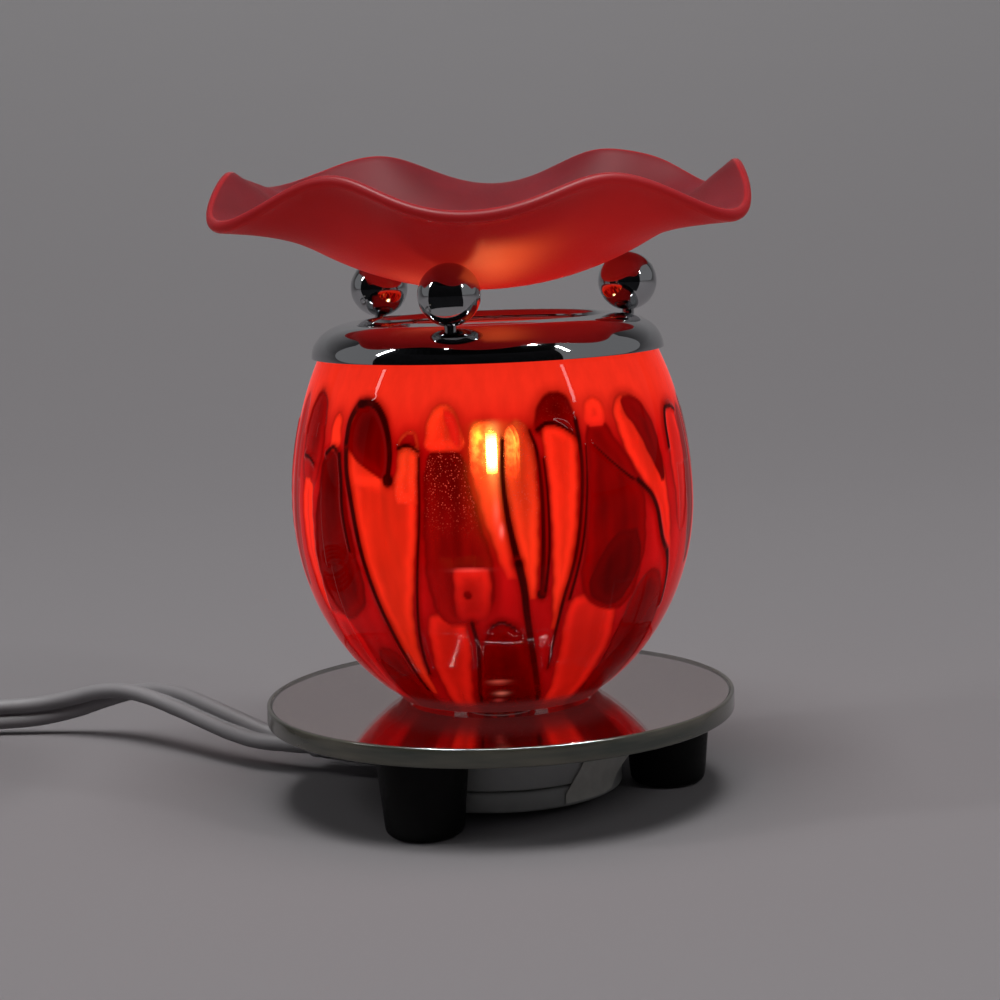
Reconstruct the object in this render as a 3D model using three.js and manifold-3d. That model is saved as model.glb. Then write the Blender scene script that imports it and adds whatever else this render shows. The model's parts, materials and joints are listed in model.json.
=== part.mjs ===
// Essential oil burner with a lamp inside: a wavy glass oil dish on three balls, a chrome cap, a red glass jar,
// a mirror glass base plate on three feet, a small halogen bulb on a threaded nipple, a wiring box under the plate
// and a flat twin mains cord with its plug.
// Millimetres, +Z up. The front is towards -Y. The floor is z = 0.
import * as THREE from "three";
import { mergeVertices } from "three/addons/utils/BufferGeometryUtils.js";
import Module from "manifold-3d";

const wasm = await Module();
wasm.setup();

// Clearances
const seatGap = 0.3;
const screwClearance = 0.35;

// How round things are: sides of each ring
const plateSides = 64;
const pipeSides = 24;
const postSides = 16;
const bulbSides = 16;
const loftCorners = 16;
const screwSides = 12;
const wireSides = 5;

// How far a cut goes past what it cuts, and how deep two joined forms reach into each other
const cutPast = 1;
const joinDepth = 0.5;

// Angles in degrees
const fullTurn = 360;
const halfTurn = 180;
const quarterTurn = 90;

// Feet
const footHeight = 17.2;
const footTopRadius = 9.5;
const footBottomRadius = 7.9;
const footEdgeRound = 2;
const footClearance = 0.6;
const footFirstAngle = -117;
const footCount = 3;

// Mirror base plate
const plateRadius = 50;
const plateThickness = 4;
const plateBevel = 0.5;

// Glass jar: two half ellipses that meet at the widest ring
const jarWidestRadius = 42.3;
const jarWidestHeight = 41.5;
const jarLowerSweep = 47.1;
const jarUpperSweep = 58.3;
const jarFootRadius = 21.6;
const jarFootCurl = 1.2;
const jarHeight = 74.8;
const jarWall = 2.5;

// Chrome cap on the jar
const lidOverlap = 2;
const lidFit = 0.35;
const lidWall = 1.1;
const lidShoulderWidth = 9;
const lidShoulderHeight = 7;
const lidCrown = 0.4;
const lidHoleRadius = 24;
const lidHoleLip = 1.4;
const lidHoleLipDepth = 0.7;

// Balls that carry the dish, and their screws
const ballRadius = 6.25;
const ballCircleRadius = 31.8;
const ballStandOff = 0.7;
const ballBoreDepth = 5;
const ballNames = ["front", "right", "left"];
const ballFirstAngle = -103;
const ballScrewRadius = 1.25;
const ballScrewHeadRadius = 2.25;
const ballScrewHeadHeight = 1.2;
const ballScrewTipGap = 0.6;

// Oil dish: a ball-bottomed bowl whose wall flares into a rim of waves
const dishBowlRadius = 70;
const dishWall = 2.6;
const dishBowlReach = 34;
const dishRimRadius = 55.9;
const dishRimHeight = 20.8;
const dishWaveCount = 6;
const dishWaveHeight = 3.9;
const dishWaveReach = 2.7;
const dishPeakAngle = -63;
const dishFlareAngle = 22;
const dishFlareSwing = 16;
const dishTilt = 4.2;
// Where the hand-pulled rim stands off its even waves: angle, lift and spread in degrees
const dishRimLifts = [
  [-93, 2.6, 17],
  [-123, 1.2, 15],
  [147, 2.2, 16],
  [157, 1.8, 9],
  [42, 1.3, 8],
  [2, -0.7, 12],
  [-33, -0.9, 15],
];

const dishLipTurns = [-45, 0, 45];

// Threaded nipple and what it clamps
const nippleRadius = 5;
const nippleWall = 1.4;
const nippleTopReach = 0.8;
const nippleTailReach = 1.4;
const washerRadius = 9;
const washerThickness = 1.5;
const collarRadius = 7.5;
const collarHeight = 3;
const nutAcrossFlats = 13;
const nutHeight = 3;

// Bulb holder and its bracket
const bracketThickness = 1.2;
const bracketEdge = 1.3;
const bracketFrontReach = 8;
const holderEdge = 3.1;
const holderDepth = 13;
const holderHeight = 13;
const holderLift = 8.8;
const holderScrewSpan = 14.2;
const holderScrewRadius = 1.45;
const holderScrewHeadRadius = 2.8;
const holderScrewHeadHeight = 2;
const holderScrewHole = holderScrewRadius + screwClearance;
const bracketWidth = holderScrewSpan + 2 * (holderScrewHole + bracketEdge);
const holderWidth = holderScrewSpan + 2 * (holderScrewHole + holderEdge);
const holderScrewTipReach = 1;
const bracketTopMargin = 1;
const contactLength = 9;
const contactTopDepth = 0.9;
const contactWall = 0.4;
const contactRoom = 0.3;

// Halogen bulb with two pins
const filamentLeadSteps = 12;
const pinSpan = 5.3;
const pinRadius = 0.55;
const pinLength = 6.7;
const pinRoot = 3.3;
const pinchWidth = 10.5;
const pinchDepth = 3.4;
const pinchHeight = 8;
const bulbRadius = 6;
const bulbWall = 0.8;
const bulbTubeHeight = 22.5;
const bulbMouthRadius = 3.3;
const filamentHeight = 14.2;
const filamentWireRadius = 0.25;
const filamentCoilRadius = 1;
const filamentCoilLength = 9.5;
const filamentTurns = 7.5;

// Wiring box under the plate
const boxRadius = 25.6;
const boxHeight = 15.6;
const boxWall = 2;
const boxFloor = 1.8;
const boxSeamHeight = 4.35;
const boxSeamGap = 0.3;
const boxLipHeight = 4.5;
const neckNotchDepth = 4;
const flangeNotchDepth = 6;
const boxLipWall = 1.4;
const postRadius = 2.6;
const postAngles = [-30, -150, 90];
const postInset = 7.1;
const postPadHeight = 2;
const coverScrewRadius = 1.3;
const coverScrewLength = 9;
const coverScrewHeadRadius = 2.5;
const coverScrewHeadHeight = 1.2;
const labelThickness = 0.25;

// Terminal block and leads
const terminalWidth = 14;
const terminalDepth = 9;
const terminalShift = 0.6;
const terminalBoreRise = 0.2;
const terminalPoleSpan = 4.2;
const terminalBoreRadius = 1.4;
const terminalScrewRadius = 1.15;
const terminalScrewInset = 3.6;
const leadEntry = 5;
const leadRadius = 0.9;
const leadSpan = 3.2;
const cordLeadRun = 7.7;
const leadTopRoom = 0.4;
const leadTailReach = 0.5;
const cordLeadStep = 2.5;
// Routes of the leads in the box, as steps from the nipple's tail and from the mouth of each terminal
const nearLeadTurn = [1.6, 0.4, -1.9];
const nearLeadRoute = [[2.9, -6.2, 0.3], [4.6, -3.2, 0], [3.6, -0.5, 0], [1.6, 0, 0]];
const farLeadTurn = [0.6, -2.4, -2];
const farLeadDip = [4.6, -4.5, -0.5];
const farLeadCross = [5, -3.4, -0.6];
const farLeadRoute = [[8.4, -9, -0.3], [8.6, -3, 0], [5.4, -0.2, 0], [2.4, 0, 0]];
const cordLeadBend = [-2.2, 0.4, -0.1];
const cordLeadMouth = 0.6;

// Flat twin cord
const cordWidth = 7.4;
const cordThickness = 3.7;
const cordExitAngle = 155;
const cordExitHeight = 6.6;
const reliefLength = 20;
const reliefTip = [8.5, 4.8];
const reliefCollar = [10.4, 6.4];
const reliefNeck = [8.6, 5];
const reliefFlange = [12, 5.4];
const reliefFlangeThickness = 1.5;
const reliefFlangeInset = 4.7;

// Put-away coil of the cord, and the plug
const coilCentre = [-166, 22.5];
const coilInnerRadius = 34.6;
const coilTurnPitch = 4.4;
const coilLayerPitch = 7.9;
const coilTurnsEachWay = 2.625;
const coilStepsPerTurn = 24;
const coilStartAngle = 90;
const coilFloorGap = 0.9;
const coilRoll = halfTurn;
// The tail's way down to the plug: reach, share of the drop still to go, and roll from the coil's
const tailDrop = [[0, 1, 0], [10, 1, 0], [19, 0.84, 0], [28, 0.5, 22], [37, 0.17, 54], [46, 0.02, 84], [54, 0, 90]];
const plugLift = 0.1;
const runSteps = 44;
const tailSteps = 24;
const plugBody = [25, 14.4];
const plugBodyLength = 22;
const plugNeckLength = 12;
const bladeSpan = 12.7;
const bladeThickness = 1.5;
const bladeLength = 17.5;
const bladeWidths = [6.3, 7.9];

// Heights that follow from the sizes above
const plateBottomZ = footHeight + seatGap;
const plateTopZ = plateBottomZ + plateThickness;
const jarFootZ = plateTopZ + seatGap;
const jarTopZ = jarFootZ + jarHeight;
const jarWidestZ = plateTopZ + jarWidestHeight;
const lidRimZ = jarTopZ - lidOverlap;
const lidInnerRadius = jarRadiusAt(lidRimZ) + lidFit;
const lidRadius = lidInnerRadius + lidWall;
const lidShoulderRadius = lidRadius - lidShoulderWidth;
const lidTopZ = lidRimZ + lidShoulderHeight + lidCrown;
const ballFootZ = lidSurfaceZ(ballCircleRadius, 0);
const ballCentreZ = ballFootZ + ballStandOff + ballRadius;
const dishContact = dishBowlRadius + ballRadius + seatGap;
const dishPivotZ = ballCentreZ + Math.sqrt(dishContact ** 2 - ballCircleRadius ** 2);
const footCircleRadius = boxRadius + footClearance + footTopRadius;
const boxTopZ = plateBottomZ - seatGap;
const boxBottomZ = boxTopZ - boxHeight;
const boxSeamZ = boxBottomZ + boxSeamHeight;
const washerZ = plateTopZ + seatGap;
const collarZ = washerZ + washerThickness + seatGap;
const bracketZ = collarZ + collarHeight + seatGap;
const topNutZ = bracketZ + bracketThickness + seatGap;
const nippleTopZ = topNutZ + nutHeight + nippleTopReach;
const boxNutZ = boxTopZ - boxWall - seatGap - nutHeight;
const nippleBottomZ = boxNutZ - nippleTailReach;
const nippleBore = nippleRadius - nippleWall;
const clampBore = nippleRadius + seatGap;
const holderZ = bracketZ + bracketThickness + holderLift;
const holderTopZ = holderZ + holderHeight;
const pinchZ = holderTopZ + seatGap;
const tubeZ = pinchZ + pinchHeight + seatGap;
const contactTopZ = holderTopZ - contactTopDepth;
const contactBottomZ = contactTopZ - contactLength;
const contactInner = pinRadius + contactRoom;
const contactOuter = contactInner + contactWall;
const terminalZ = boxBottomZ + boxFloor + seatGap;
const terminalHeight = nippleBottomZ - seatGap - terminalZ;
const terminalBoreZ = terminalZ + terminalHeight / 2 + terminalBoreRise;
const postPlaces = postAngles.map((angle) => aroundAxis(boxRadius - postInset, angle).toArray());
const cordRoot = aroundAxis(boxRadius - reliefFlangeInset - seatGap, cordExitAngle, cordExitHeight);
const terminalPlace = [
  cordRoot.x + cordLeadRun + terminalWidth / 2,
  cordRoot.y + terminalShift,
];

// The leaning dish drifts back over its balls, so the lamp stands that far forward of the origin
const dishDrift = (dishBowlRadius - dishRimHeight + dishWaveHeight) * Math.sin(radians(dishTilt));

const materials = {
  redGlass: finish(0xe2301c, 0.12, 0),
  frostedGlass: finish(0xa01c24, 0.55, 0),
  chrome: finish(0xd8d8da, 0.06, 1),
  mirror: finish(0x8f8a88, 0.04, 1),
  blackPlastic: finish(0x0a0a0a, 0.45, 0),
  whitePlastic: finish(0xdcdcd8, 0.5, 0),
  steel: finish(0xb9bcc0, 0.3, 1),
  ceramic: finish(0xe6e2d8, 0.6, 0),
  brass: finish(0xc8a24a, 0.3, 1),
  quartz: finish(0xf2f4f4, 0.03, 0),
  tungsten: finish(0xffd890, 0.4, 0.8),
  leadWire: finish(0xe8e6e0, 0.5, 0),
  cordWhite: finish(0xd6d4d2, 0.45, 0),
  paper: finish(0xe8e6da, 0.9, 0),
};

const lamp = new THREE.Group();
lamp.position.y = -dishDrift;

function finish(color, roughness, metalness) {
  return new THREE.MeshStandardMaterial({ color, roughness, metalness });
}

function radians(degrees) {
  return (degrees * Math.PI) / 180;
}

function aroundAxis(radius, degrees, z = 0) {
  return new THREE.Vector3(radius * Math.cos(radians(degrees)), radius * Math.sin(radians(degrees)), z);
}

function add(name, geometry, material, parent = lamp) {
  const mesh = new THREE.Mesh(tidy(geometry), material);
  mesh.name = name;
  parent.add(mesh);
  return mesh;
}

// Keeps positions only, merges shared corners, drops flat triangles and turns the faces outwards
function tidy(source) {
  const bare = source.clone();
  bare.deleteAttribute("normal");
  bare.deleteAttribute("uv");
  const merged = mergeVertices(bare, 1e-4);
  const places = merged.attributes.position;
  const corners = merged.index.array;
  const kept = [];
  let volume = 0;
  const [a, b, c] = [new THREE.Vector3(), new THREE.Vector3(), new THREE.Vector3()];
  for (let i = 0; i < corners.length; i += 3) {
    const [p, q, r] = [corners[i], corners[i + 1], corners[i + 2]];
    if (p === q || q === r || r === p) continue;
    kept.push(p, q, r);
    a.fromBufferAttribute(places, p);
    b.fromBufferAttribute(places, q);
    c.fromBufferAttribute(places, r);
    volume += a.dot(b.cross(c)) / 6;
  }
  if (volume < 0) {
    for (let i = 0; i < kept.length; i += 3) [kept[i + 1], kept[i + 2]] = [kept[i + 2], kept[i + 1]];
  }
  merged.setIndex(kept);
  return merged;
}

function solidOf(geometry) {
  const ready = tidy(geometry);
  return new wasm.Manifold(new wasm.Mesh({
    numProp: 3,
    vertProperties: new Float32Array(ready.attributes.position.array),
    triVerts: new Uint32Array(ready.index.array),
  }));
}

function geometryOf(solid) {
  const mesh = solid.getMesh();
  const geometry = new THREE.BufferGeometry();
  geometry.setAttribute("position", new THREE.BufferAttribute(mesh.vertProperties, 3));
  geometry.setIndex(new THREE.BufferAttribute(mesh.triVerts, 1));
  return geometry;
}

function cut(body, ...tools) {
  return geometryOf(tools.reduce((solid, tool) => solid.subtract(solidOf(tool)), solidOf(body)));
}

function join(first, ...others) {
  return geometryOf(others.reduce((solid, other) => solid.add(solidOf(other)), solidOf(first)));
}

// A body of revolution about Z from [radius, z] points
function turned(outline, sides) {
  const points = outline.map(([radius, z]) => new THREE.Vector2(radius, z));
  return new THREE.LatheGeometry(points, sides).rotateX(Math.PI / 2);
}

// A closed outline turned into a ring
function turnedRing(outline, sides) {
  return turned([...outline, outline[0]], sides);
}

function tubeRing(outer, inner, bottom, top, sides) {
  return turnedRing([[inner, bottom], [outer, bottom], [outer, top], [inner, top]], sides);
}

function rod(radius, bottom, top, sides = 16) {
  return new THREE.CylinderGeometry(radius, radius, top - bottom, sides)
    .rotateX(Math.PI / 2)
    .translate(0, 0, (bottom + top) / 2);
}

function block(width, depth, height, x = 0, y = 0, bottom = 0) {
  return new THREE.BoxGeometry(width, depth, height).translate(x, y, bottom + height / 2);
}

// Points on a quarter of an ellipse, from one angle to another, in degrees
function arc(centre, across, along, from, to, steps) {
  return Array.from({ length: steps + 1 }, (_, i) => {
    const angle = radians(from + ((to - from) * i) / steps);
    return [centre[0] + across * Math.cos(angle), centre[1] + along * Math.sin(angle)];
  });
}

// A skin between rings of equal point counts, closed at both ends by a fan
function skin(rings) {
  const count = rings[0].length;
  const places = rings.flat().flatMap((p) => [p.x, p.y, p.z]);
  const index = [];
  for (let i = 0; i + 1 < rings.length; i += 1) {
    for (let j = 0; j < count; j += 1) {
      const next = (j + 1) % count;
      const [a, b] = [i * count + j, i * count + next];
      index.push(a, b, a + count, b, b + count, a + count);
    }
  }
  const last = (rings.length - 1) * count;
  for (let j = 1; j + 1 < count; j += 1) {
    index.push(0, j + 1, j, last, last + j, last + j + 1);
  }
  const geometry = new THREE.BufferGeometry();
  geometry.setAttribute("position", new THREE.Float32BufferAttribute(places, 3));
  geometry.setIndex(index);
  return geometry;
}

// A loft along +X through rounded sections, each [along, width, height]
function loft(stations, corners = loftCorners) {
  const squareness = 0.6;
  return skin(stations.map(([along, width, height]) => Array.from({ length: corners }, (_, j) => {
    const angle = (2 * Math.PI * (j + 0.5)) / corners;
    const bulge = (value) => Math.sign(value) * Math.abs(value) ** squareness;
    return new THREE.Vector3(
      along,
      (width / 2) * bulge(Math.cos(angle)),
      (height / 2) * bulge(Math.sin(angle)),
    );
  })));
}

// A round wire along a smooth line through points
function wire(points, radius, steps, sides = 8) {
  const section = new THREE.Shape(
    Array.from({ length: sides }, (_, i) => new THREE.Vector2(
      radius * Math.cos((2 * Math.PI * i) / sides),
      radius * Math.sin((2 * Math.PI * i) / sides),
    )),
  );
  const line = new THREE.CatmullRomCurve3(points.map((p) => new THREE.Vector3(...p)), false, "centripetal");
  return new THREE.ExtrudeGeometry(section, { steps, extrudePath: line });
}

function addFeet() {
  const roundSteps = 3;
  const outline = [
    [0, 0],
    ...arc([footBottomRadius - footEdgeRound, footEdgeRound], footEdgeRound, footEdgeRound, -90, 0, roundSteps),
    [footTopRadius, footHeight],
    [0, footHeight],
  ];
  for (let i = 0; i < footCount; i += 1) {
    const foot = add(`foot_${i + 1}`, turned(outline, 20), materials.blackPlastic);
    foot.position.copy(aroundAxis(footCircleRadius, footFirstAngle + (360 / footCount) * i));
  }
}

function addPlate() {
  const edge = plateRadius - plateBevel;
  add("base_plate", turnedRing([
    [clampBore, plateBottomZ],
    [edge, plateBottomZ],
    [plateRadius, plateBottomZ + plateBevel],
    [plateRadius, plateTopZ - plateBevel],
    [edge, plateTopZ],
    [clampBore, plateTopZ],
  ], plateSides), materials.mirror);
}

function jarRadiusAt(z) {
  const sweep = z > jarWidestZ ? jarUpperSweep : jarLowerSweep;
  return jarWidestRadius * Math.sqrt(1 - ((z - jarWidestZ) / sweep) ** 2);
}

// A wall's other face: each point of a line moved square to it
function offsetLine(line, distance) {
  return line.map((point, i) => {
    const before = line[Math.max(0, i - 1)];
    const after = line[Math.min(line.length - 1, i + 1)];
    const [dr, dz] = [after[0] - before[0], after[1] - before[1]];
    const size = Math.hypot(dr, dz);
    return [point[0] - (distance * dz) / size, point[1] + (distance * dr) / size];
  });
}

function addJar() {
  const steps = 9;
  const lowest = jarFootZ + jarFootCurl;
  const outside = Array.from({ length: steps + 1 }, (_, i) => {
    const z = lowest + ((jarTopZ - lowest) * i) / steps;
    return [jarRadiusAt(z), z];
  });
  const inside = offsetLine(outside, jarWall).filter(([, z]) => z > lowest && z < jarTopZ - jarWall / 2);
  const mouthInner = jarRadiusAt(jarTopZ) - jarWall;
  add("jar", turnedRing([
    [jarFootRadius - jarWall, jarFootZ],
    [jarFootRadius, jarFootZ],
    ...outside,
    [mouthInner, jarTopZ],
    ...inside.reverse(),
  ], 44), materials.redGlass);
}

// Height of the cap's outer face, or of a face that lies inward of it
function lidSurfaceZ(radius, inward) {
  const [width, height] = [lidShoulderWidth - inward, lidShoulderHeight - inward];
  const out = Math.max(0, (radius - lidShoulderRadius) / width);
  return lidRimZ + height * Math.sqrt(Math.max(0, 1 - out ** 2));
}

function addLid() {
  const shoulder = [lidShoulderRadius, lidRimZ];
  const lipCentre = [lidHoleRadius + lidHoleLip, lidTopZ - lidHoleLip];
  const innerLip = lidHoleRadius + lidWall;
  const outside = [
    ...arc(lipCentre, lidHoleLip, lidHoleLip, 180, 90, 3),
    ...arc(shoulder, lidShoulderWidth, lidShoulderHeight, 90, 0, 7),
  ];
  const inside = [
    ...arc(shoulder, lidShoulderWidth - lidWall, lidShoulderHeight - lidWall, 0, 90, 5),
    [lipCentre[0], lidTopZ - lidWall],
    [innerLip, lipCentre[1]],
  ];
  const lipBottom = lipCentre[1] - lidHoleLipDepth;
  const cap = turnedRing([[lidHoleRadius, lipBottom], ...outside, ...inside, [innerLip, lipBottom]], 44);
  const holes = ballNames.map((_, i) => {
    const place = ballPlace(i);
    return rod(ballScrewRadius + screwClearance, lidRimZ, lidTopZ + cutPast, screwSides).translate(place.x, place.y, 0);
  });
  add("lid", cut(cap, ...holes), materials.chrome);
}

function ballPlace(i) {
  return aroundAxis(ballCircleRadius, ballFirstAngle + (360 / ballNames.length) * i);
}

function addBalls() {
  const boreRadius = ballScrewRadius + screwClearance;
  const mouthAngle = (Math.asin(boreRadius / ballRadius) * 180) / Math.PI;
  const outline = [
    [0, ballBoreDepth - ballRadius],
    [boreRadius, ballBoreDepth - ballRadius],
    ...arc([0, 0], ballRadius, ballRadius, mouthAngle - 90, 90, 10),
  ];
  const headTop = lidSurfaceZ(ballCircleRadius + ballScrewHeadRadius, lidWall) - seatGap;
  const tip = ballCentreZ - ballRadius + ballBoreDepth - ballScrewTipGap;
  const screw = [
    [0, headTop - ballScrewHeadHeight],
    [ballScrewHeadRadius, headTop - ballScrewHeadHeight],
    [ballScrewHeadRadius, headTop],
    [ballScrewRadius, headTop],
    [ballScrewRadius, tip],
    [0, tip],
  ];
  ballNames.forEach((name, i) => {
    const ball = add(`ball_${name}`, turned(outline, 18), materials.chrome);
    ball.position.copy(ballPlace(i)).setZ(ballCentreZ);
    add(`ball_screw_${name}`, turned(screw, screwSides), materials.steel).position.copy(ballPlace(i));
  });
}

function dishRimLift(angle) {
  const degrees = (angle * halfTurn) / Math.PI;
  return dishRimLifts.reduce((sum, [place, lift, spread]) => {
    const away = ((degrees - place + fullTurn + halfTurn) % fullTurn) - halfTurn;
    return sum + lift * Math.exp(-((away / spread) ** 2));
  }, 0);
}

// Middle line of the dish's wall, from the axis to the lip, in the plane at one angle
function dishMiddle(angle) {
  const wave = Math.cos(dishWaveCount * (angle - radians(dishPeakAngle)));
  const middle = dishBowlRadius - dishWall / 2;
  const reachAngle = Math.asin(dishBowlReach / dishBowlRadius);
  const bowlSteps = 4;
  const flareSteps = 5;
  const bowl = Array.from({ length: bowlSteps + 1 }, (_, i) => {
    const out = (reachAngle * i) / bowlSteps;
    return [middle * Math.sin(out), dishBowlRadius - middle * Math.cos(out)];
  });
  const start = bowl[bowlSteps];
  const rimHeight = dishRimHeight + dishWaveHeight * wave + dishRimLift(angle);
  const end = [dishRimRadius - dishWaveReach * wave, rimHeight];
  const pull = 0.36 * Math.hypot(end[0] - start[0], end[1] - start[1]);
  const lean = radians(dishFlareAngle + dishFlareSwing * wave);
  const flare = new THREE.CubicBezierCurve(
    new THREE.Vector2(...start),
    new THREE.Vector2(start[0] + pull * Math.cos(reachAngle), start[1] + pull * Math.sin(reachAngle)),
    new THREE.Vector2(end[0] - pull * Math.cos(lean), end[1] - pull * Math.sin(lean)),
    new THREE.Vector2(...end),
  );
  return [...bowl, ...flare.getPoints(flareSteps).slice(1).map((p) => [p.x, p.y])];
}

function addDish() {
  const sides = 60;
  const slices = Array.from({ length: sides }, (_, i) => {
    const angle = (2 * Math.PI * i) / sides;
    const middle = dishMiddle(angle);
    const under = offsetLine(middle, -dishWall / 2);
    const upper = offsetLine(middle, dishWall / 2);
    under[0] = [0, 0];
    upper[0] = [0, dishWall];
    const [tip, inward] = [middle[middle.length - 1], middle[middle.length - 2]];
    const lean = Math.atan2(tip[1] - inward[1], tip[0] - inward[0]);
    const half = dishWall / 2;
    const lip = dishLipTurns.map((turn) => [
      tip[0] + half * Math.cos(lean + radians(turn)),
      tip[1] + half * Math.sin(lean + radians(turn)),
    ]);
    return [...under, ...lip, ...upper.reverse()].map(
      ([radius, z]) => new THREE.Vector3(radius * Math.cos(angle), radius * Math.sin(angle), z),
    );
  });
  const count = slices[0].length;
  const places = slices.flat().flatMap((p) => [p.x, p.y, p.z]);
  const index = [];
  for (let i = 0; i < sides; i += 1) {
    const next = (i + 1) % sides;
    for (let j = 0; j + 1 < count; j += 1) {
      const [a, b] = [i * count + j, next * count + j];
      index.push(a, b, a + 1, b, b + 1, a + 1);
    }
  }
  const geometry = new THREE.BufferGeometry();
  geometry.setAttribute("position", new THREE.Float32BufferAttribute(places, 3));
  geometry.setIndex(index);
  const pivot = new THREE.Group();
  pivot.position.z = dishPivotZ;
  pivot.rotation.x = radians(dishTilt);
  lamp.add(pivot);
  add("oil_dish", geometry, materials.frostedGlass, pivot).position.z = -dishBowlRadius;
}

function hexNut(bottom) {
  const around = nutAcrossFlats / 2 / Math.cos(Math.PI / 6);
  const hex = rod(around, bottom, bottom + nutHeight, 6).rotateZ(Math.PI / 6);
  return cut(hex, rod(clampBore, bottom - cutPast, bottom + nutHeight + cutPast, pipeSides));
}

function addNippleStack() {
  add("nipple", tubeRing(nippleRadius, nippleBore, nippleBottomZ, nippleTopZ, pipeSides), materials.chrome);
  add(
    "washer",
    tubeRing(washerRadius, clampBore, washerZ, washerZ + washerThickness, pipeSides),
    materials.chrome,
  );
  add(
    "collar_nut",
    tubeRing(collarRadius, clampBore, collarZ, collarZ + collarHeight, pipeSides),
    materials.chrome,
  );
  add("top_nut", hexNut(topNutZ), materials.chrome);
  add("box_nut", hexNut(boxNutZ), materials.steel);
}

function alongY(radius, from, to, x, z, sides = 12) {
  return new THREE.CylinderGeometry(radius, radius, to - from, sides).translate(x, (from + to) / 2, z);
}

function addHolder() {
  const back = holderDepth / 2 + seatGap;
  const screwZ = holderZ + holderHeight / 2;
  const sides = [-1, 1];
  const foot = block(
    bracketWidth, bracketFrontReach + back + bracketThickness, bracketThickness,
    0, (back + bracketThickness - bracketFrontReach) / 2, bracketZ,
  );
  const upright = block(
    bracketWidth, bracketThickness, holderTopZ - bracketTopMargin - bracketZ,
    0, back + bracketThickness / 2, bracketZ,
  );
  const throughHoles = sides.map((side) => alongY(
    holderScrewHole, -holderDepth, holderDepth, (side * holderScrewSpan) / 2, screwZ,
  ));
  const stem = rod(clampBore, bracketZ - cutPast, topNutZ, pipeSides);
  add("holder_bracket", cut(join(foot, upright), stem, ...throughHoles), materials.steel);
  const contactHoles = sides.map((side) => rod(
    contactOuter + seatGap, holderZ - 1, holderTopZ + 1, 16,
  ).translate((side * pinSpan) / 2, 0, 0));
  const body = block(holderWidth, holderDepth, holderHeight, 0, 0, holderZ);
  add("bulb_holder", cut(body, ...contactHoles, ...throughHoles), materials.ceramic);
  const headFace = -holderDepth / 2 - seatGap;
  const screwProfile = [
    [0, -holderScrewHeadHeight],
    [holderScrewHeadRadius, -holderScrewHeadHeight],
    [holderScrewHeadRadius, 0],
    [holderScrewRadius, 0],
    [holderScrewRadius, back + bracketThickness + holderScrewTipReach - headFace],
    [0, back + bracketThickness + holderScrewTipReach - headFace],
  ];
  sides.forEach((side, i) => {
    const screw = add(`holder_screw_${i + 1}`, turned(screwProfile, screwSides), materials.steel);
    screw.rotation.x = -Math.PI / 2;
    screw.position.set((side * holderScrewSpan) / 2, headFace, screwZ);
    const contact = tubeRing(contactOuter, contactInner, contactBottomZ, contactTopZ, screwSides);
    add(`holder_contact_${i + 1}`, contact, materials.brass).position.x = (side * pinSpan) / 2;
  });
}

function addBulb() {
  const sides = [-1, 1];
  const pinHole = pinRadius + screwClearance;
  const pinHoles = sides.map((side) => rod(pinHole, pinchZ - cutPast, tubeZ, screwSides)
    .translate((side * pinSpan) / 2, 0, 0));
  add("bulb_pinch", cut(block(pinchWidth, pinchDepth, pinchHeight, 0, 0, pinchZ), ...pinHoles), materials.quartz);
  const tubeTop = tubeZ + bulbTubeHeight;
  const domeCentre = [0, tubeTop - bulbRadius];
  const innerRadius = bulbRadius - bulbWall;
  const shoulder = bulbRadius - bulbMouthRadius;
  add("bulb_glass", turned([
    ...arc(domeCentre, innerRadius, innerRadius, 90, 0, 5),
    [innerRadius, tubeZ + shoulder],
    [bulbMouthRadius, tubeZ + bulbWall],
    [bulbMouthRadius, tubeZ],
    [bulbMouthRadius + bulbWall, tubeZ],
    [bulbRadius, tubeZ + shoulder - bulbWall / 2],
    ...arc(domeCentre, bulbRadius, bulbRadius, 0, 90, 5),
  ], bulbSides), materials.quartz);
  const pinTop = pinchZ + pinRoot;
  sides.forEach((side, i) => {
    const pin = rod(pinRadius, pinchZ - pinLength, pinTop, 10);
    add(`bulb_pin_${i + 1}`, pin, materials.steel).position.x = (side * pinSpan) / 2;
  });
  addFilament(pinTop + seatGap);
}

// One wire: up one lead, along a coil up the middle of the bulb, over the top and down the other lead
function addFilament(bottom) {
  const stepsPerTurn = 6;
  const steps = filamentTurns * stepsPerTurn;
  const coilBottom = tubeZ + filamentHeight - filamentCoilLength / 2;
  const coilTop = coilBottom + filamentCoilLength;
  const coil = Array.from({ length: steps + 1 }, (_, i) => {
    const angle = Math.PI + (2 * Math.PI * filamentTurns * i) / steps;
    return [
      filamentCoilRadius * Math.cos(angle),
      filamentCoilRadius * Math.sin(angle),
      coilBottom + (filamentCoilLength * i) / steps,
    ];
  });
  const leadX = pinSpan / 2;
  const turnIn = leadX - filamentCoilRadius;
  const firstLead = [bottom, (bottom + coilBottom) / 2, coilBottom - turnIn].map((z) => [-leadX, 0, z]);
  const overTop = [filamentCoilRadius + turnIn / 2, 0, coilTop + turnIn / 2];
  const lastLead = [coilTop - turnIn / 2, (bottom + coilTop) / 2, bottom].map((z) => [leadX, 0, z]);
  const line = [...firstLead, ...coil, overTop, ...lastLead];
  add("filament", wire(line, filamentWireRadius, line.length + filamentLeadSteps, wireSides), materials.tungsten);
}

function boxNotch(width, height, from, to) {
  return block(to - from, width, height, (from + to) / 2, 0, cordExitHeight - height / 2)
    .rotateZ(radians(cordExitAngle));
}

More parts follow.
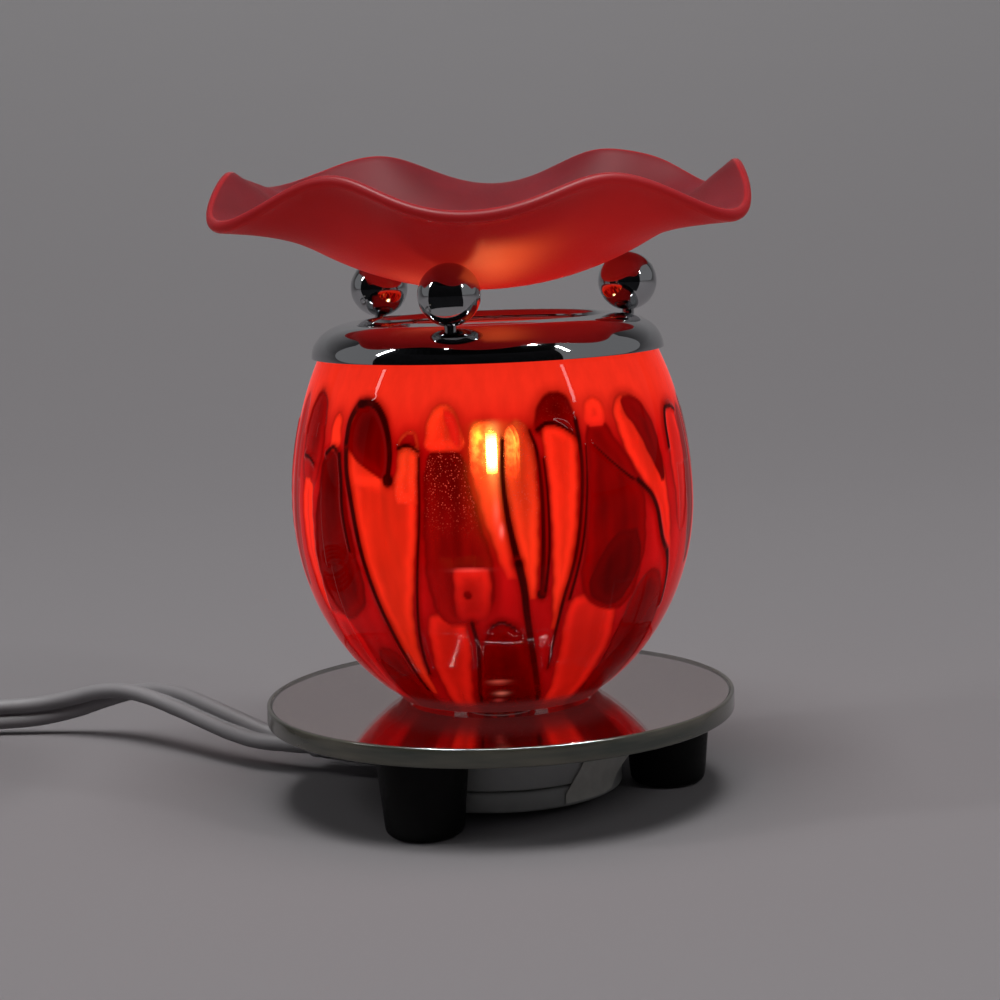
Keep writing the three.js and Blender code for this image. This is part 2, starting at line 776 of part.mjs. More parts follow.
function addBox() {
  const inner = boxRadius - boxWall;
  const roofUnder = boxTopZ - boxWall;
  const shellBottom = boxSeamZ + boxSeamGap;
  const floorTop = boxBottomZ + boxFloor;
  const neckNotch = boxNotch(
    reliefNeck[0] + 2 * seatGap, reliefNeck[1] + 2 * seatGap, inner - neckNotchDepth, boxRadius + cutPast,
  );
  const flangeRoom = boxNotch(
    reliefFlange[0] + 2 * seatGap,
    reliefFlange[1] + 2 * seatGap + boxLipHeight,
    inner - flangeNotchDepth,
    inner - seatGap / 2,
  ).translate(0, 0, boxLipHeight / 2);
  const shellShape = turnedRing([
    [clampBore, roofUnder],
    [inner, roofUnder],
    [inner, shellBottom],
    [boxRadius, shellBottom],
    [boxRadius, boxTopZ],
    [clampBore, boxTopZ],
  ], 40);
  const padTop = floorTop + postPadHeight;
  const postBottom = padTop + seatGap;
  const posts = postPlaces.map(([x, y]) => rod(postRadius, postBottom, roofUnder + joinDepth, postSides)
    .translate(x, y, 0));
  const postBores = postPlaces.map(([x, y]) => rod(
    coverScrewRadius + screwClearance, postBottom - 1, boxBottomZ + coverScrewLength + 1, 12,
  ).translate(x, y, 0));
  add("box_shell", cut(join(shellShape, ...posts), ...postBores, neckNotch), materials.whitePlastic);
  const lipOuter = inner - seatGap;
  const coverShape = turned([
    [0, boxBottomZ],
    [boxRadius - 0.8, boxBottomZ],
    [boxRadius, boxBottomZ + 0.8],
    [boxRadius, boxSeamZ],
    [lipOuter, boxSeamZ],
    [lipOuter, floorTop + boxLipHeight],
    [lipOuter - boxLipWall, floorTop + boxLipHeight],
    [lipOuter - boxLipWall, floorTop],
    [0, floorTop],
  ], 40);
  const pads = postPlaces.map(([x, y]) => rod(postRadius, floorTop - joinDepth, padTop, postSides)
    .translate(x, y, 0));
  const headRoom = coverScrewHeadHeight + seatGap;
  const screwHoles = postPlaces.flatMap(([x, y]) => [
    rod(coverScrewRadius + screwClearance, boxBottomZ - cutPast, padTop + cutPast, screwSides).translate(x, y, 0),
    rod(coverScrewHeadRadius + screwClearance, boxBottomZ - cutPast, boxBottomZ + headRoom, postSides)
      .translate(x, y, 0),
  ]);
  add("box_cover", cut(join(coverShape, ...pads), ...screwHoles, neckNotch, flangeRoom), materials.whitePlastic);
  const headTop = boxBottomZ + coverScrewHeadHeight;
  const screwProfile = [
    [0, boxBottomZ],
    [coverScrewHeadRadius, boxBottomZ],
    [coverScrewHeadRadius, headTop],
    [coverScrewRadius, headTop],
    [coverScrewRadius, boxBottomZ + coverScrewLength],
    [0, boxBottomZ + coverScrewLength],
  ];
  postPlaces.forEach(([x, y], i) => {
    add(`cover_screw_${i + 1}`, turned(screwProfile, screwSides), materials.steel).position.set(x, y, 0);
  });
}

// A paper label that wraps the box's side: angle, lowest and highest height of each column
function addLabel() {
  const columns = [
    [-61, 0, 2], [-56, 0, 5.2], [-51, 0, 8.4], [-46, 0, 11.6], [-41, 0, 13], [-36, 0, 13],
    [-31, 0.4, 12.2], [-26, 3.4, 10.4], [-21, 5.6, 8.6], [-16, 6.7, 7.2],
  ];
  const near = boxRadius + seatGap;
  const rings = columns.map(([angle, low, high]) => {
    const bottom = boxBottomZ + 0.9 + low;
    const top = boxBottomZ + 0.9 + high;
    return [
      aroundAxis(near, angle, bottom),
      aroundAxis(near + labelThickness, angle, bottom),
      aroundAxis(near + labelThickness, angle, top),
      aroundAxis(near, angle, top),
    ];
  });
  add("label", skin(rings), materials.paper);
}

function addTerminal() {
  const [x, y] = terminalPlace;
  const poles = [-1, 1].map((side) => y + (side * terminalPoleSpan) / 2);
  const ends = [-1, 1].map((side) => x + side * (terminalWidth / 2 - terminalScrewInset));
  const top = terminalZ + terminalHeight;
  const bores = poles.map((pole) => new THREE.CylinderGeometry(
    terminalBoreRadius, terminalBoreRadius, terminalWidth + 2, 12,
  ).rotateZ(Math.PI / 2).translate(x, pole, terminalBoreZ));
  const wells = poles.flatMap((pole) => ends.map((end) => rod(
    terminalScrewRadius + screwClearance, terminalBoreZ, top + 1, 12,
  ).translate(end, pole, 0)));
  const body = block(terminalWidth, terminalDepth, terminalHeight, x, y, terminalZ);
  add("terminal_block", cut(body, ...bores, ...wells), materials.ceramic);
  const screwBottom = terminalBoreZ + leadRadius + seatGap;
  poles.forEach((pole, i) => ends.forEach((end, j) => {
    const screw = rod(terminalScrewRadius, screwBottom, top - seatGap, 10);
    add(`terminal_screw_${2 * i + j + 1}`, screw, materials.brass).position.set(end, pole, 0);
  }));
  addLeads(poles, x + terminalWidth / 2, x - terminalWidth / 2);
}

function addLeads(poles, rightFace, leftFace) {
  const down = leadSpan / 2;
  const top = contactBottomZ - seatGap;
  const tail = nippleBottomZ - leadTailReach;
  const drop = (side) => [
    [(side * pinSpan) / 2, 0, top],
    [(side * pinSpan) / 2, 0, holderZ - leadTopRoom],
    [side * down, 0, nippleTopZ - leadTopRoom],
    [side * down, 0, (nippleTopZ + nippleBottomZ) / 2],
    [side * down, 0, tail],
  ];
  const from = (x, y, z, step) => [x + step[0], y + step[1], z + step[2]];
  const near = [
    ...drop(1),
    from(down, 0, tail, nearLeadTurn),
    ...nearLeadRoute.map((step) => from(rightFace, poles[0], terminalBoreZ, step)),
    [rightFace - leadEntry, poles[0], terminalBoreZ],
  ];
  const far = [
    ...drop(-1),
    from(-down, 0, tail, farLeadTurn),
    from(-down, 0, terminalBoreZ, farLeadDip),
    from(rightFace, 0, terminalBoreZ, farLeadCross),
    ...farLeadRoute.map((step) => from(rightFace, poles[1], terminalBoreZ, step)),
    [rightFace - leadEntry, poles[1], terminalBoreZ],
  ];
  add("lamp_lead_1", wire(near, leadRadius, 32, 6), materials.leadWire);
  add("lamp_lead_2", wire(far, leadRadius, 42, 6), materials.leadWire);
  const aside = aroundAxis(cordThickness / 2, cordExitAngle + quarterTurn);
  const inward = aroundAxis(-cordLeadStep, cordExitAngle);
  [[-1, 1], [1, 0]].forEach(([side, pole], i) => {
    const start = cordRoot.clone().addScaledVector(aside, side);
    const next = start.clone().add(inward);
    const line = [
      start.toArray(),
      next.toArray(),
      [leftFace + cordLeadBend[0], poles[pole] + side * cordLeadBend[1], terminalBoreZ + cordLeadBend[2]],
      [leftFace - cordLeadMouth, poles[pole], terminalBoreZ],
      [leftFace + leadEntry, poles[pole], terminalBoreZ],
    ];
    add(`cord_lead_${i + 1}`, wire(line, leadRadius, 14, 6), materials.leadWire);
  });
}

// Distance from the axis to the strain relief's tip, and to the cord's first point
const reliefTipOut = boxRadius + seatGap + reliefLength;
const cordStartOut = reliefTipOut + seatGap;

function addRelief() {
  const root = boxRadius - reliefFlangeInset;
  const flangeEnd = root + reliefFlangeThickness;
  const wall = boxRadius + seatGap;
  const relief = add("strain_relief", loft([
    [root, ...reliefFlange],
    [flangeEnd, ...reliefFlange],
    [flangeEnd, ...reliefNeck],
    [wall, ...reliefNeck],
    [wall, ...reliefCollar],
    [wall + 3, ...reliefCollar],
    [reliefTipOut, ...reliefTip],
  ]), materials.cordWhite);
  relief.position.z = cordExitHeight;
  relief.rotation.z = radians(cordExitAngle);
}

// A line whose wide side is turned about it by an angle of its own: 0 stands on edge, 90 lies flat
class RibbonLine extends THREE.CatmullRomCurve3 {
  constructor(points, rolls) {
    super(points, false, "centripetal");
    this.rolls = rolls;
  }

  rollAt(share) {
    const place = this.getUtoTmapping(share) * (this.rolls.length - 1);
    const first = Math.min(Math.floor(place), this.rolls.length - 2);
    return THREE.MathUtils.lerp(this.rolls[first], this.rolls[first + 1], place - first);
  }

  computeFrenetFrames(steps) {
    const frames = { tangents: [], normals: [], binormals: [] };
    for (let i = 0; i <= steps; i += 1) {
      const tangent = this.getTangentAt(i / steps);
      const frame = ribbonFrame(tangent, this.rollAt(i / steps));
      frames.tangents.push(tangent);
      frames.normals.push(frame.side);
      frames.binormals.push(frame.wide);
    }
    return frames;
  }
}

function ribbonFrame(tangent, roll) {
  const up = new THREE.Vector3(0, 0, 1).addScaledVector(tangent, -tangent.z).normalize();
  const side = new THREE.Vector3().crossVectors(up, tangent);
  return {
    wide: up.applyAxisAngle(tangent, radians(roll)),
    side: side.applyAxisAngle(tangent, radians(roll)),
  };
}

// The free route of the cord, chosen by hand, measured from the lamp's axis: x, y, z and roll
const freeRoute = [
  [-48.6, 22.66, 6.6, 90],
  [-55.2, 26.6, 7.3, 68],
  [-62.0, 32.4, 8.6, 48],
  [-69.2, 39.6, 10.1, 42],
  [-76.4, 47.0, 11.4, 52],
  [-83.2, 53.4, 12.0, 78],
  [-90.0, 58.6, 11.6, 106],
  [-97.2, 62.4, 9.9, 134],
  [-105.2, 65.3, 7.4, 156],
  [-113.8, 67.2, 5.6, 170],
  [-122.8, 68.2, 4.9, 178],
  [-132.4, 68.5, 4.7, 180],
  [-143.0, 68.6, 4.65, 180],
];

const coilLowZ = coilFloorGap + cordWidth / 2;
const coilHighZ = coilLowZ + coilLayerPitch;

// The flat section of the cord: two wires side by side, as a few-sided oval
function cordSection(sides) {
  const half = cordThickness / 2;
  const reach = cordWidth / 2;
  if (sides === 6) {
    return [[half, 0.55 * reach], [0, reach], [-half, 0.55 * reach], [-half, -0.55 * reach], [0, -reach], [half, -0.55 * reach]];
  }
  return [[1, 0.6], [0.5, 1], [-0.5, 1], [-1, 0.6], [-1, -0.6], [-0.5, -1], [0.5, -1], [1, -0.6]]
    .map(([across, along]) => [across * half, along * reach]);
}

function ribbon(route, steps) {
  const points = route.map(([x, y, z]) => new THREE.Vector3(x, y, z));
  const line = new RibbonLine(points, route.map((p) => p[3]));
  const section = new THREE.Shape(cordSection(8).map((p) => new THREE.Vector2(...p)));
  return { line, geometry: new THREE.ExtrudeGeometry(section, { steps, extrudePath: line }) };
}

// Centre line of the coil: in along the lower layer, up a layer where it turns back, and out again
function coilLine() {
  const steps = Math.round(2 * coilTurnsEachWay * coilStepsPerTurn);
  const climb = 0.25;
  const turns = Array.from({ length: steps + 1 }, (_, i) => {
    const turn = -coilTurnsEachWay + (2 * coilTurnsEachWay * i) / steps;
    const angle = coilStartAngle + 360 * (turn + coilTurnsEachWay);
    const radius = coilInnerRadius + coilTurnPitch * Math.abs(turn);
    const lift = THREE.MathUtils.smoothstep(turn, -climb, climb);
    const place = aroundAxis(radius, angle, coilLowZ + lift * coilLayerPitch);
    return place.add(new THREE.Vector3(...coilCentre, 0));
  });
  const lead = (from, towards) => from.clone().addScaledVector(towards, cordWidth);
  const startWay = new THREE.Vector3(1, 0, 0);
  const endAngle = coilStartAngle + 720 * coilTurnsEachWay;
  const endWay = aroundAxis(1, endAngle + 90);
  return [lead(turns[0], startWay), ...turns, lead(turns[steps], endWay)];
}

function addCoil() {
  const line = coilLine();
  const rings = line.map((place, i) => {
    const before = line[Math.max(0, i - 1)];
    const after = line[Math.min(line.length - 1, i + 1)];
    const tangent = after.clone().sub(before).normalize();
    const frame = ribbonFrame(tangent, 0);
    return cordSection(6).map(([across, along]) => place.clone()
      .addScaledVector(frame.side, across)
      .addScaledVector(frame.wide, along));
  });
  add("cord_coil", skin(rings), materials.cordWhite);
  let least = Infinity;
  const apart = coilStepsPerTurn / 2;
  for (let i = 0; i < rings.length; i += 1) {
    for (let j = i + apart; j < rings.length; j += 1) {
      for (const p of rings[i]) for (const q of rings[j]) least = Math.min(least, p.distanceTo(q));
    }
  }
  console.log(`least gap of the coil to itself: ${least.toFixed(2)} mm`);
  return line;
}

function lengthOf(points) {
  return points.slice(1).reduce((sum, p, i) => sum + p.distanceTo(points[i]), 0);
}

function addCord() {
  const coil = addCoil();
  const exit = aroundAxis(cordStartOut, cordExitAngle, cordExitHeight);
  const coilStart = coil[0];
  const entry = [coilStart.x + seatGap, coilStart.y, coilStart.z];
  const settle = [coilStart.x + cordWidth, coilStart.y, coilStart.z];
  const run = ribbon(
    [[exit.x, exit.y, exit.z, quarterTurn], ...freeRoute, [...settle, coilRoll], [...entry, coilRoll]],
    runSteps,
  );
  add("cord_run", run.geometry, materials.cordWhite);
  const coilEnd = coil[coil.length - 1];
  const tailX = coilEnd.x;
  const plugZ = plugBody[1] / 2 + plugLift;
  const tailStart = coilEnd.y - seatGap;
  const tail = ribbon(tailDrop.map(([along, share, roll]) => [
    tailX, tailStart - along, plugZ + (coilHighZ - plugZ) * share, roll,
  ]), tailSteps);
  add("cord_tail", tail.geometry, materials.cordWhite);
  const tailEnd = tailStart - tailDrop[tailDrop.length - 1][0];
  const total = run.line.getLength() + lengthOf(coil) + tail.line.getLength() + 2 * seatGap;
  console.log(`cord length from the relief to the plug: ${total.toFixed(0)} mm`);
  addPlug(tailX, tailEnd - seatGap, plugZ);
}

// The plug lies on its flat side, blades side by side, pointing to -Y
function addPlug(x, start, z) {
  const neck = plugNeckLength;
  const long = neck + plugBodyLength;
  const [wide, high] = plugBody;
  const plug = new THREE.Group();
  plug.position.set(x, start, z);
  plug.rotation.z = -Math.PI / 2;
  lamp.add(plug);
  add("plug_body", loft([
    [0, 9.4, 5.6],
    [neck - 1, 11.5, 8],
    [neck, wide - 4, high - 1.6],
    [neck + 2, wide, high],
    [long - 1, wide, high],
    [long, wide - 2, high - 2],
  ]), materials.cordWhite, plug);
  bladeWidths.forEach((width, i) => {
    const side = 2 * i - 1;
    const blade = new THREE.BoxGeometry(bladeLength, bladeThickness, width)
      .translate(long + seatGap + bladeLength / 2, (side * bladeSpan) / 2, 0);
    add(`plug_blade_${i + 1}`, blade, materials.brass, plug);
  });
}

addFeet();
addPlate();
addBox();
addLabel();
addTerminal();
addNippleStack();
addHolder();
addBulb();
addJar();
addLid();
addBalls();
addDish();
addRelief();
addCord();

export default lamp;
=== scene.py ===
import json
import math
import random

import bmesh
import bpy
import numpy as np
from mathutils import Matrix, Vector

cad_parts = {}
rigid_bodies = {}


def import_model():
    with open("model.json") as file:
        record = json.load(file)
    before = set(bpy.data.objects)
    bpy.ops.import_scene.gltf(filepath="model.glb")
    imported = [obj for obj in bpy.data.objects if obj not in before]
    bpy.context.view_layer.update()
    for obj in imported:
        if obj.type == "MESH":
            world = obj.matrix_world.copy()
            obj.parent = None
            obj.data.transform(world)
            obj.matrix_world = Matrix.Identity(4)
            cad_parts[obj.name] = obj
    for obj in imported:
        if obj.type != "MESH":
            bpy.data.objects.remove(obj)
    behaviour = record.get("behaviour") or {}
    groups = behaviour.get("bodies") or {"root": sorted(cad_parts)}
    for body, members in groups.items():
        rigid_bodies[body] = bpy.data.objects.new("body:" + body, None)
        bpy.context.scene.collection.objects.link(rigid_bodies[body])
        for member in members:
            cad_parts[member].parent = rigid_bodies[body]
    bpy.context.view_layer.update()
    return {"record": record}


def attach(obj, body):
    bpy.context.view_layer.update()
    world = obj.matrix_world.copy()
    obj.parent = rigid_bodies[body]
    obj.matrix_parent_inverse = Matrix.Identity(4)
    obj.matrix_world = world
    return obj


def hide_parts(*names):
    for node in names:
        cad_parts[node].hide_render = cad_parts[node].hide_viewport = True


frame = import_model()

# Sizes in millimetres, measured from the lamp's axis and the floor. The axis stands in front of the
# frame's middle by the lamp's drift
millimetre = 0.001
lamp_drift = 3.889

# Camera, as it stood before the lamp
camera_place = (-0.5, -455.6, 124.73)
camera_pitch = 7.731
camera_roll = -2.122
camera_yaw = 0.243
camera_lens = 77.95
camera_sensor = 36.0

# Feet
foot_height = 17.2
foot_top_radius = 9.5
foot_bottom_radius = 7.9
foot_circle_radius = 35.7
foot_angles = (-117, 3, 123)

# Mirror base plate
plate_bottom = 17.5
plate_top = 21.5
plate_radius = 50.0
plate_bore = 5.3
mirror_depth = 0.45
plate_bevel = 0.5

# Nipple, washer and nuts
nipple_radius = 5.0
nipple_bore = 3.6
nipple_bottom = 10.5
nipple_top = 32.2
nut_bore = 5.3
nut_height = 3.0
nut_flats = 13.0
washer_radius = 9.0
washer_bottom = 21.8
washer_thickness = 1.5
collar_radius = 7.5
collar_bottom = 23.6
top_nut_bottom = 28.4

# Jar
jar_foot = 21.8
jar_top = 96.6
jar_widest = 63.0
jar_widest_radius = 42.3
jar_lower_sweep = 47.1
jar_upper_sweep = 58.3
jar_foot_radius = 21.6
jar_wall = 2.5

# Relief of the jar's pattern: its threads stand proud, and its windows are drawn in a little. It comes in
# above the foot and goes out below the cap
thread_height = 0.28
window_depth = 0.16
relief_start_heights = (24, 28)
relief_end_heights = (89, 92)

# Columns of the jar: fine ones up to an angle on both sides of its front, and plainer ones behind
front_edge_angle = 75
front_column_step = 0.36
back_columns = 190

# Chrome cap
lid_rim = 94.6
lid_radius = 37.0
lid_wall = 1.1
lid_shoulder_width = 9.0
lid_shoulder_height = 7.0
lid_top = 102.0
lid_hole_radius = 24.0
lid_lip = 1.4
lid_lip_drop = 0.7

# Balls
ball_radius = 6.25
ball_circle_radius = 31.8
ball_height = 107.9
ball_angles = {"front": -103, "right": 17, "left": 137}

# Oil dish, and the lifts and dips of its rim: angle, height and reach in degrees
dish_bowl_radius = 70.0
dish_wall = 2.6
dish_bowl_reach = 34.0
dish_rim_radius = 55.78
dish_rim_height = 20.75
dish_waves = 6
dish_wave_height = 3.9
dish_wave_reach = 2.7
dish_peak_angle = -63
dish_flare_angle = 22
dish_flare_swing = 16
dish_tilt = 4.2
dish_pivot = 177.53
dish_rim_lifts = [(-93, 2.6, 17), (-123, 1.2, 15), (147, 2.2, 16), (157, 1.8, 9), (42, 1.3, 8),
                  (2, -0.7, 12), (-33, -0.9, 15)]
lip_points = 9

# Bulb
bulb_bottom = 58.5
bulb_top = 81.0
bulb_radius = 6.0
bulb_wall = 0.8
filament_height = 73.0
filament_length = 8.8
filament_radius = 1.0
filament_turns = 19
wire_radius = 0.22
lead_reach = 2.65
lead_foot = 53.8

# Wiring box and its label
box_radius = 25.6
box_bottom = 1.6
box_seam = 5.95
box_seam_gap = 0.3
box_top = 17.2
box_wall = 1.9
box_bore = 5.4
label_gap = 0.32
label_thickness = 0.18
label_angles = (-61, -16)
label_peel_angle = -36
label_peel = 2.4

# Cord, with its strain relief, its coil and the coil's tie
cord_width = 7.4
cord_thickness = 3.7
cord_web = 1.3
cord_exit_angle = 155
cord_exit_height = 6.6
cord_start_out = 46.2
relief_start_out = 25.9
relief_tip_out = 45.9
relief_size = (10.4, 6.4)
relief_ribs = 6
coil_centre = (-166.0, 22.5)
coil_inner_radius = 34.6
coil_turn_pitch = 4.4
coil_low = 4.6
coil_layer = 7.9
coil_turns_each_way = 2.625
coil_start_angle = 90
tie_angle = 315
tie_width = 7.0
tie_thickness = 0.55
tie_clearance = 0.2
tie_corner = 2.4
plug_axis_height = 7.3
seat_gap = 0.3

# The run of the cord that shows: places on its middle line, and how far it is rolled about that line
free_route = [
    (-48.6, 22.66, 6.6, 90),
    (-55.2, 26.6, 7.3, 68),
    (-62.0, 32.4, 8.6, 48),
    (-69.2, 39.6, 10.1, 42),
    (-76.4, 47.0, 11.4, 52),
    (-83.2, 53.4, 12.0, 78),
    (-90.0, 58.6, 11.6, 106),
    (-97.2, 62.4, 9.9, 134),
    (-105.2, 65.3, 7.4, 156),
    (-113.8, 67.2, 5.6, 170),
    (-122.8, 68.2, 4.9, 178),
    (-132.4, 68.5, 4.7, 180),
    (-143.0, 68.6, 4.65, 180),
]

# The tail from the coil down to the plug: distance along, share of the drop still to go, and roll
tail_drop = [(0, 1, 0), (10, 1, 0), (19, 0.84, 0), (28, 0.5, 22), (37, 0.17, 54), (46, 0.02, 84),
             (54, 0, 90)]

# Colours of the jar's glass
bright_orange = (0.93, 0.026, 0.008)
amber = (1.0, 0.055, 0.012)
warm_red = (0.74, 0.012, 0.006)
deep_red = (0.36, 0.003, 0.003)
dark_red = (0.185, 0.0, 0.0)
maroon = (0.085, 0.0, 0.0)
band_red = (0.88, 0.026, 0.010)
strip_red = (0.63, 0.003, 0.003)
low_red = (0.46, 0.003, 0.004)
foot_red = (0.07, 0.010, 0.010)
line_black = (0.010, 0.0, 0.0)
streak_red = (0.10, 0.0, 0.0)
bubble_red = (0.95, 0.09, 0.055)
window_tint = (1.0, 0.6, 0.3)
bubbles_per_metre = 2100
jar_brightness = 1.0

# Heights on the jar between which its glass changes, from the foot's shade to the band below the cap
foot_shade_heights = (23.2, 25.6)
strip_heights = (30, 80)
# Painted light: the bulb's glow on the glass dims below these heights
light_rise_heights = (32, 54)
sparkle_heights = (60, 70)
# Painted light: the bulb's glow on the glass is brightest about this height
brightest_height = 76
bright_reach = 24
band_heights = (77, 90)
# Heights below the band where the painted glare and highlights end
painted_glare_end_heights = (82.6, 84.4)

# Colours of the dish, and its spots of light: angle, reach in degrees, distance out and reach out
dish_dark_red = (0.130, 0.0066, 0.0106)
dish_light_red = (0.176, 0.0104, 0.0165)
# The lip's lighter red is a painted highlight along its fire-polished edges
lip_highlight_red = (0.215, 0.018, 0.023)
glow_red = (1.0, 0.022, 0.018)
hot_orange = (1.0, 0.15, 0.03)
pale_orange = (1.0, 0.22, 0.10)
hot_spot = (-85, 13, 37, 12)
left_spot = (-126, 17, 23, 8)
right_glow = (-50, 34, 46, 12)

# How strongly the dish glows: everywhere, where the bulb's light falls, over its bowl, and in its spots
even_share = 0.115
lit_share = 0.13
bowl_share = 0.12
bowl_glow_out = 22
bowl_glow_reach = 20
right_share = 0.085
hot_share = 1.08
pale_share = 0.26
upper_side_share = 0.06

# The bulb's light on its way: the soft edges of the hole's and the balls' shadows, and a ball's darkness
full_light_distance = 33
hole_edge_in = 2.5
hole_edge_out = 1.2
ball_edge_in = 1.0
ball_edge_out = 1.1
ball_shadow = 0.9

# Colours of the plate's edge and of the bulb, and the heights between which the bulb's glass glows
edge_green = (0.030, 0.036, 0.028)
edge_brown = (0.085, 0.078, 0.058)
filament_orange = (1.0, 0.55, 0.20)
filament_yellow = (1.0, 0.70, 0.35)
filament_brightness = 130
filament_cool_end = 3.0
bulb_light = (1.0, 0.62, 0.26)
bulb_brightness = 1.55
glow_start = 64.0
glow_fade = 76.5

# Plain finishes. Grain is per millimetre and the depth of a bump is in millimetres
plain_finishes = {
    "chrome": dict(colour=(0.49, 0.495, 0.51), roughness=0.035, metal=1, shade=0.03, grain=0.2,
                   spread=0.015),
    "mirror_glass": dict(colour=(0.74, 0.56, 0.56), roughness=0.02, metal=1, shade=0.03, grain=0.05,
                         spread=0.01),
    "mirror_back": dict(colour=(0.30, 0.31, 0.32), roughness=0.55, shade=0.2, grain=0.4),
    "foot_plastic": dict(colour=(0.0035, 0.0035, 0.0035), roughness=0.5, shade=0.3, grain=1.2, bump=0.03,
                         gloss=0.1),
    # Box plastic and label paper are darker than the pale plastic and paper: painted shade from under the
    # plate
    "box_plastic": dict(colour=(0.32, 0.32, 0.312), roughness=0.42, shade=0.05, grain=1.5, bump=0.015),
    "label_paper": dict(colour=(0.50, 0.49, 0.45), roughness=0.8, shade=0.08, grain=2.5, bump=0.02),
    "steel": dict(colour=(0.62, 0.63, 0.64), roughness=0.28, metal=1, shade=0.15, grain=0.9),
    "ceramic": dict(colour=(0.82, 0.79, 0.72), roughness=0.6, shade=0.08, grain=1.0, bump=0.03),
    "brass": dict(colour=(0.75, 0.55, 0.22), roughness=0.22, metal=1, shade=0.12, grain=0.7),
    "filament_lead": dict(colour=(0.42, 0.40, 0.38), roughness=0.35, metal=1, shade=0.2, grain=1.5),
    "lead_sleeve": dict(colour=(0.80, 0.79, 0.75), roughness=0.5, shade=0.06, grain=1.5),
    "cord_jacket": dict(colour=(0.185, 0.178, 0.185), roughness=0.62, shade=0.05, grain=0.5, gloss=0.2),
}

# Stage and light, in metres and watts
floor_colour = (0.207, 0.196, 0.203)
wall_colour = (0.360, 0.353, 0.360)
fibre_colour = (0.22, 0.22, 0.22)
paper_change_height = 0.8
world_level = 0.11
world_seen = 0.22
seam_power = 92.0
seam_width = 0.030
softbox_power = 2.4
top_power = 86.0
lit_height = 0.06

# The drips round the back, which are drawn from a fixed seed
back_seed = 11
back_first_angle = 86.0
back_last_angle = 274
back_millimetres_per_degree = 0.72
arch_height = 0.8

